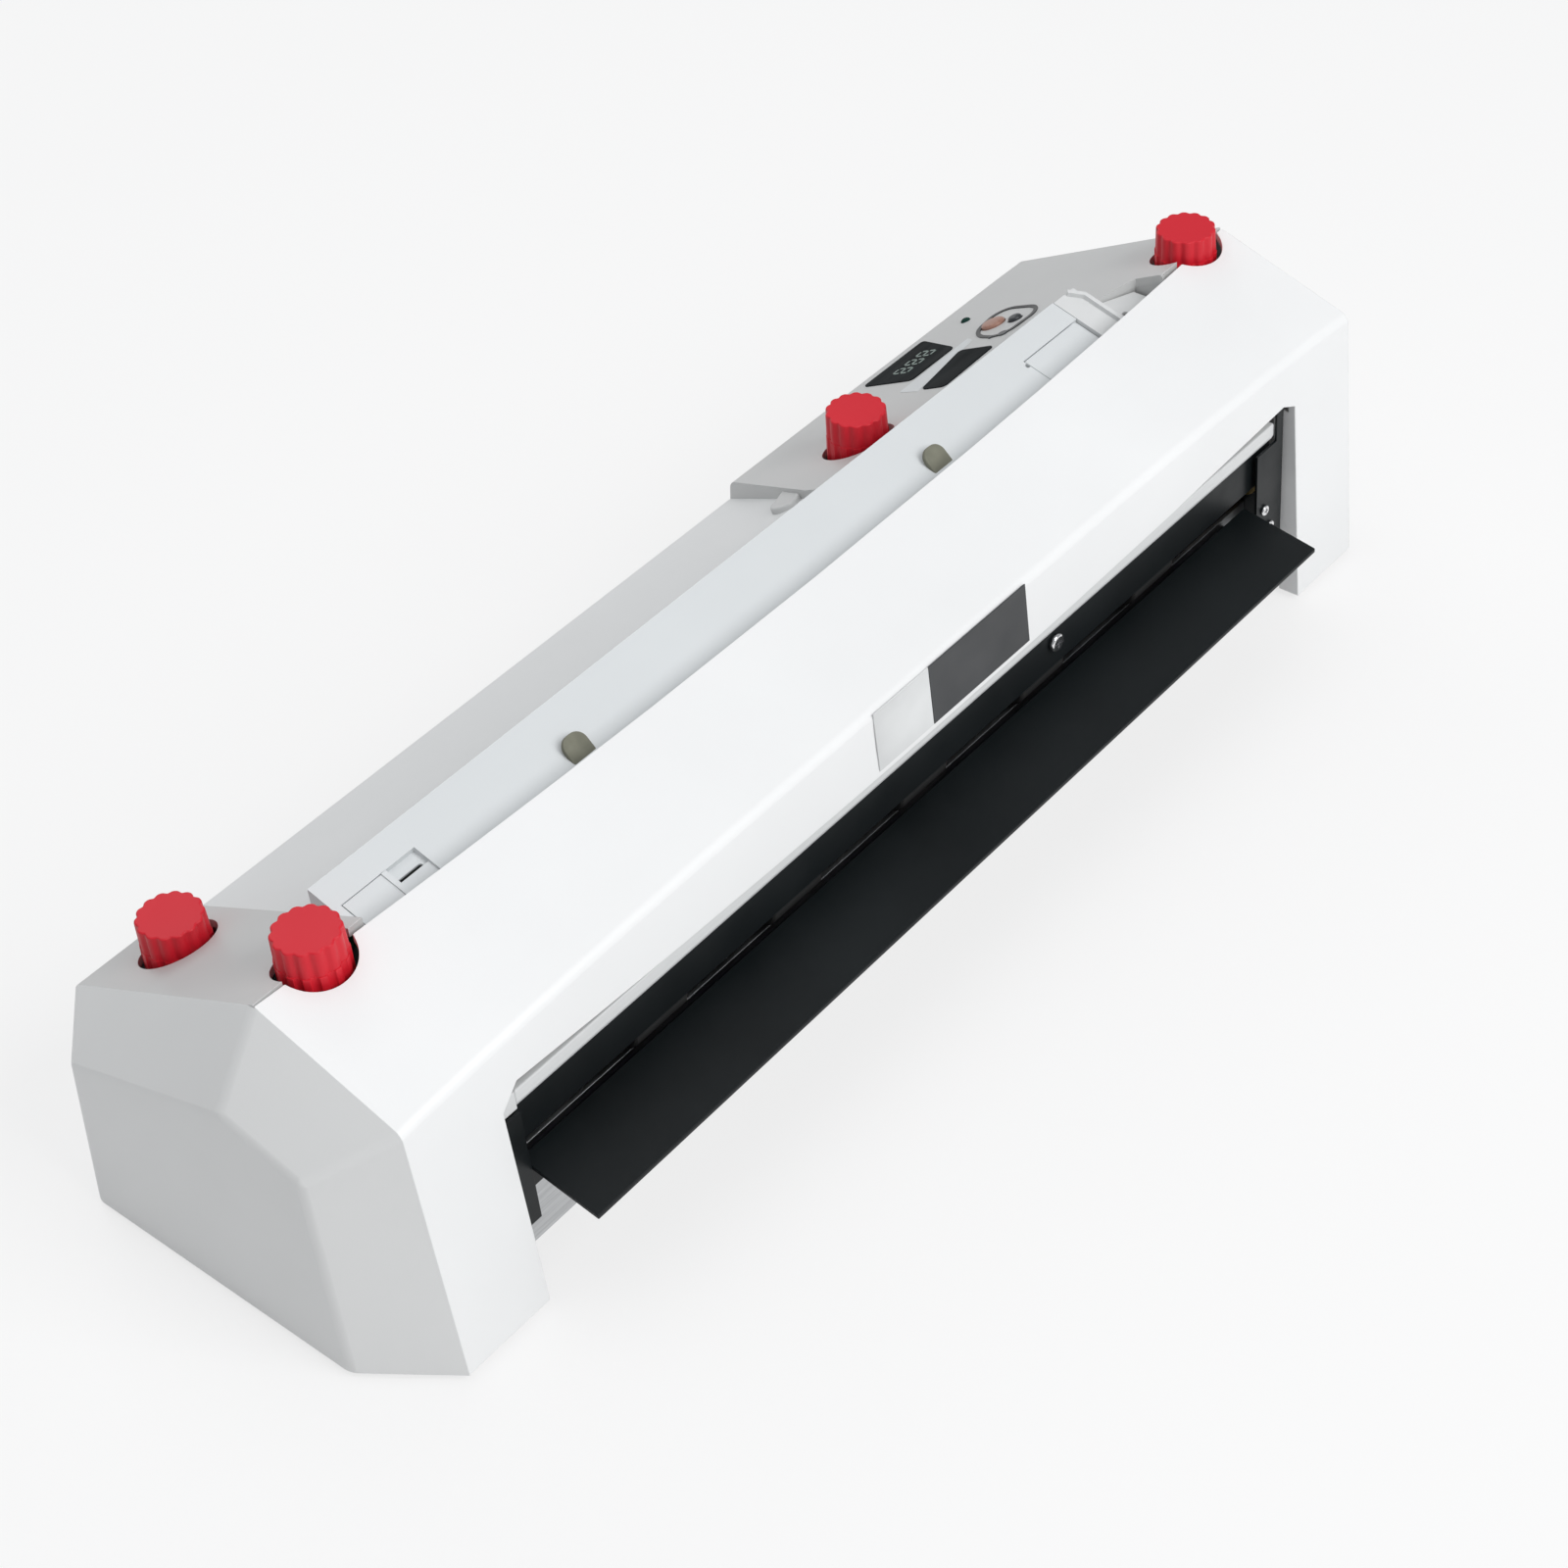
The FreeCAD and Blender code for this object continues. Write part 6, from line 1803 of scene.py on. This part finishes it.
@dataclass
class Screws:
    """Pan-head screws with a cross recess, all copies of one."""

    frame: Frame
    head: float = 2.8
    height: float = 1.7
    sides: int = 40
    crown: float = 0.75
    crown_steps: int = 5
    slot: float = 0.7
    slot_length: float = 3.2
    slot_depth: float = 0.9
    pan_x: tuple[float, ...] = (-170.0, -60.0, 60.0, 170.0)
    pan_y: Pair = (-30.0, 45.0)
    pan_sink: float = 0.5
    flange_screws: tuple[Place, ...] = ((156.6, -54.9, 41.0), (159.6, -54.9, 33.5))
    flange_scale: float = 0.6

    TO_FRONT: ClassVar[Matrix] = Matrix.Rotation(math.radians(90.0), 4, "X")
    TO_FLOOR: ClassVar[Matrix] = Matrix.Rotation(math.pi, 4, "X")

    def pattern(self) -> Piece:
        """One screw head that faces up, with its seat at the origin.

        Returns:
            The screw head, which every screw copies.
        """
        piece = Bench.drum("screw", mm(0.0, 0.0, self.height / 2), self.head * MM,
                           self.height * MM, self.sides)
        Bench.soften(piece, self.crown * MM, self.crown_steps)
        half, thin = self.slot_length / 2, self.slot / 2
        floor, over = self.height - self.slot_depth, self.height * 2
        for reach_x, reach_y in ((half, thin), (thin, half)):
            Bench.carve(piece, Bench.box("cross", mm(-reach_x, -reach_y, floor),
                                         mm(reach_x, reach_y, over)))
        Bench.smooth(piece)
        return Finish.CHROME.on(piece)

    def guard_screw(self, pattern: Piece) -> Piece:
        """The bright screw that holds the guard, in place of its plain solid.

        Args:
            pattern: the screw head to copy.

        Returns:
            The screw.
        """
        low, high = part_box("guard_screw")
        piece = Bench.copy(pattern, "guard_screw_head")
        seat = Matrix.Translation(((low.x + high.x) / 2, high.y, (low.z + high.z) / 2))
        Bench.place(piece, seat @ self.TO_FRONT)
        return self.frame.seat(piece, "guard_screw", ["guard_screw"])

    def small_screws(self, pattern: Piece) -> list[Piece]:
        """The small screws on the right-hand mouth flange.

        Args:
            pattern: the screw head to copy.

        Returns:
            The screws.
        """
        made = []
        for number, seat in enumerate(self.flange_screws, 1):
            piece = Bench.copy(pattern, f"flange_screw_{number}")
            Bench.place(piece, Matrix.Translation(mm(*seat)) @ self.TO_FRONT
                        @ Matrix.Scale(self.flange_scale, 4))
            made.append(self.frame.seat(piece, "exit_guard"))
        return made

    def pan_screws(self, pattern: Piece) -> list[Piece]:
        """The screws that hold the pan from below.

        Args:
            pattern: the screw head to copy.

        Returns:
            The screws.
        """
        low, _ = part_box("base_pan")
        made = []
        for number, (x, y) in enumerate(((x, y) for x in self.pan_x for y in self.pan_y), 1):
            piece = Bench.copy(pattern, f"pan_screw_{number}")
            seat = Matrix.Translation((*mm(x, y), low.z + self.pan_sink * MM))
            Bench.place(piece, seat @ self.TO_FLOOR)
            made.append(self.frame.seat(piece, "base_pan"))
        return made

    def build(self) -> list[Piece]:
        """Builds the pattern, copies it to every place and puts it away.

        Returns:
            The screws.
        """
        pattern = self.pattern()
        made = [self.guard_screw(pattern), *self.small_screws(pattern),
                *self.pan_screws(pattern)]
        Bench.discard(pattern)
        return made


@dataclass
class SwitchMarks:
    """The raised bar and ring on the two halves of the mains rocker."""

    frame: Frame
    side: float = 3.4
    bar: Pair = (0.35, 1.7)
    bar_span: Pair = (-0.3, 0.15)
    bar_edge: float = 0.1
    ring_radius: float = 1.5
    ring_tube: float = 0.28
    ring_sides: int = 64
    tube_sides: int = 12
    ring_shading: float = 60.0
    proud: float = 0.1
    behind: float = 200.0

    def surface(self, x: float, z: float) -> tuple[Vector, Vector]:
        """Point and normal where a line from behind meets the rocker.

        Args:
            x: place along the machine, in metres.
            z: height, in metres.

        Returns:
            The point on the rocker's face and the face's normal.
        """
        rocker = self.frame.nodes["switch_rocker"]
        hit, place, normal, _ = rocker.ray_cast(
            Vector((x, self.behind * MM, z)), Vector((0.0, -1.0, 0.0)))
        if not hit:
            raise ValueError("no rocker face behind the mark")
        return place, normal

    def stick(self, piece: Piece, x: float, z: float) -> Piece:
        """Sticks a mark that was modelled flat on the rocker's face.

        Args:
            piece: the mark.
            x: its place along the machine, in metres.
            z: its height, in metres.

        Returns:
            The mark, riding on the rocker.
        """
        place, normal = self.surface(x, z)
        turn = normal.to_track_quat("Z", "Y").to_matrix().to_4x4()
        Bench.place(piece, Matrix.Translation(place + normal * self.proud * MM) @ turn)
        return self.frame.seat(Finish.PLATE_PALE.on(piece), "switch_rocker")

    def build(self) -> list[Piece]:
        """Builds the bar and the ring.

        Returns:
            The two marks.
        """
        low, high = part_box("switch_rocker")
        x, z = (low.x + high.x) / 2, (low.z + high.z) / 2
        (wide, tall), (foot, top) = self.bar, self.bar_span
        bar = Bench.box("rocker_bar", mm(-wide, -tall, foot), mm(wide, tall, top))
        Bench.soften(bar, self.bar_edge * MM, Bench.FINE)
        ring = Bench.ring("rocker_ring", self.ring_radius * MM, self.ring_tube * MM,
                          self.ring_sides, self.tube_sides)
        Bench.smooth(ring, self.ring_shading)
        return [self.stick(bar, x + self.side * MM, z), self.stick(ring, x - self.side * MM, z)]


@dataclass
class Mechanism:
    """The solids that keep their own shape, each with its finish."""

    frame: Frame

    SLOT_FINISH: ClassVar[dict[str, Finish]] = {
        "black_sheet": Finish.BLACK_SHEET, "zinc_sheet": Finish.ZINC,
        "ground_steel": Finish.GROUND, "knife_steel": Finish.KNIFE,
        "black_rubber": Finish.BLACK_RUBBER, "gear_nylon": Finish.NYLON,
        "brass": Finish.BRASS, "motor_can": Finish.MOTOR, "board": Finish.BOARD,
        "black_plastic": Finish.BLACK_PLASTIC,
    }
    # Painted shade: the knob brackets are zinc sheet, painted black here so that the holes round
    # the knobs show dark.
    HOLE_SHADE_FINISH: ClassVar[dict[str, Finish]] = {"knob_brackets": Finish.BLACK_SHEET}

    def build(self) -> list[Piece]:
        """Dresses every solid that is still shown.

        Returns:
            Those solids.
        """
        shown = []
        for node, piece in self.frame.nodes.items():
            if piece.hide_render:
                continue
            finish = self.HOLE_SHADE_FINISH.get(node) or self.SLOT_FINISH[self.frame.slot_of[node]]
            shown.append(finish.on(piece))
        return shown


# ---------------------------------------------------------------- studio


@dataclass(frozen=True)
class Lamp:
    """A square soft lamp that faces the middle of the machine, in metres and watts."""

    name: str
    place: Place
    size: float
    power: float
    target: Place = (0.0, 0.0, 0.05)

    def hang(self) -> None:
        """Adds the lamp to the scene."""
        Bench.clear()
        bpy.ops.object.light_add(type="AREA", location=self.place)
        lamp = bpy.context.active_object
        lamp.name = self.name
        lamp.data.size = self.size
        lamp.data.energy = self.power
        aim = Vector(self.target) - Vector(self.place)
        lamp.rotation_euler = aim.to_track_quat("-Z", "Y").to_euler()


@dataclass
class Studio:
    """Floor, lamps and camera, with places in metres."""

    focal_pixels: float = 3147.0
    image_width: float = 1600.0
    sensor: float = 36.0
    clip: Pair = (0.01, 30.0)
    eye: Place = (-0.4753, -0.4561, 0.6010)
    right: Place = (0.63875, -0.76495, -0.08276)
    down: Place = (-0.54951, -0.37826, -0.74496)
    forward: Place = (0.53855, 0.52132, -0.66196)
    floor_size: float = 6.0
    floor_tones: tuple[Colour, Colour] = ((0.80, 0.80, 0.80), (0.82, 0.82, 0.82))
    floor_roughness: float = 0.9
    floor_clouds: Noise = (3.0, 2.0)
    floor_glow: float = 0.72
    white: Colour = (1.0, 1.0, 1.0)
    sky: Colour = (0.95, 0.97, 1.0)
    sky_strength: float = 0.38

    LAMPS: ClassVar[tuple[Lamp, ...]] = (
        Lamp("key_lamp", (0.05, -1.35, 1.2), 1.0, 19.0),
        Lamp("top_lamp", (-0.1, 0.2, 1.6), 1.4, 6.0),
        Lamp("rear_lamp", (0.5, 1.3, 0.9), 1.0, 4.0),
    )

    def camera(self) -> None:
        """Adds the camera at its measured place."""
        Bench.clear()
        bpy.ops.object.camera_add(location=self.eye)
        camera = bpy.context.active_object
        camera.name = "main_camera"
        camera.data.sensor_width = self.sensor
        camera.data.lens = self.focal_pixels / self.image_width * self.sensor
        camera.data.clip_start, camera.data.clip_end = self.clip
        axes = (Vector(self.right), -Vector(self.down), -Vector(self.forward))
        camera.matrix_world = (Matrix.Translation(self.eye)
                               @ Matrix(axes).transposed().to_4x4())
        bpy.context.scene.camera = camera

    @staticmethod
    def seen_by(tree: bpy.types.NodeTree, *rays: str) -> Socket:
        """Adds a value that is 1 where one of two kinds of ray meets a surface.

        Args:
            tree: the tree that it is added to.
            rays: names of the two outputs of the light path.

        Returns:
            The value's socket.
        """
        light_path = tree.nodes.new("ShaderNodeLightPath")
        seen = tree.nodes.new("ShaderNodeMath")
        seen.operation = "MAXIMUM"
        for ray, slot in zip(rays, seen.inputs):
            tree.links.new(light_path.outputs[ray], slot)
        return seen.outputs["Value"]

    def floor_finish(self) -> bpy.types.Material:
        """Pale floor that shows nearly white to the camera and keeps soft shadows.

        Returns:
            The material.
        """
        board = NodeBoard("studio_floor")
        board.set(Roughness=self.floor_roughness)
        board.tone(board.noise(*self.floor_clouds), *self.floor_tones)
        glow = board.add("Emission", Strength=1.0, Color=(*self.white, 1.0))
        blend = board.add("MixShader")
        amount = board.add("Math")
        amount.operation = "MULTIPLY"
        amount.inputs[1].default_value = self.floor_glow
        board.link(self.seen_by(board.tree, "Is Camera Ray", "Is Glossy Ray"), amount.inputs[0])
        board.link(amount.outputs["Value"], blend.inputs["Fac"])
        board.link(board.shader.outputs["BSDF"], blend.inputs[1])
        board.link(glow.outputs["Emission"], blend.inputs[2])
        board.link(blend.outputs["Shader"], board.output.inputs["Surface"])
        return board.material

    def floor(self) -> None:
        """Adds the floor under the feet."""
        Bench.clear()
        bpy.ops.mesh.primitive_plane_add(size=self.floor_size, location=(0.0, 0.0, 0.0))
        floor = Bench.name(bpy.context.active_object, "studio_floor")
        floor.data.materials.append(self.floor_finish())

    def world(self) -> None:
        """Even pale surroundings, white where the camera sees them."""
        world = bpy.data.worlds.new("studio")
        bpy.context.scene.world = world
        world.use_nodes = True
        tree = world.node_tree
        tree.nodes.clear()
        output = tree.nodes.new("ShaderNodeOutputWorld")
        blend = tree.nodes.new("ShaderNodeMixShader")
        tree.links.new(self.seen_by(tree, "Is Camera Ray", "Is Transmission Ray"),
                       blend.inputs["Fac"])
        lights = ((self.sky, self.sky_strength), (self.white, 1.0))
        for slot, (colour, strength) in enumerate(lights, 1):
            light = tree.nodes.new("ShaderNodeBackground")
            NodeBoard.fill(light, {"Color": (*colour, 1.0), "Strength": strength})
            tree.links.new(light.outputs["Background"], blend.inputs[slot])
        tree.links.new(blend.outputs["Shader"], output.inputs["Surface"])

    def build(self) -> None:
        """Builds the whole studio."""
        self.camera()
        self.floor()
        self.world()
        for lamp in self.LAMPS:
            lamp.hang()
        bpy.context.scene.view_settings.view_transform = "Standard"


def main() -> None:
    """Builds the studio and every sub-assembly in order."""
    logging.basicConfig(level=logging.INFO, format="%(name)s: %(message)s")
    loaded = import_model()
    frame = Frame(loaded)
    Studio().build()
    for assembly in (Plates(frame), SwitchMarks(frame), Covers(frame), Knobs(frame),
                     Fittings(frame), Tongues(frame), Console(frame), Skirt(frame),
                     Flanges(frame), Screws(frame), Mechanism(frame)):
        for piece in assembly.build():
            LOG.info("%s: %s, %d faces", type(assembly).__name__, piece.name,
                     len(piece.data.polygons))


if __name__ == "__main__":
    main()
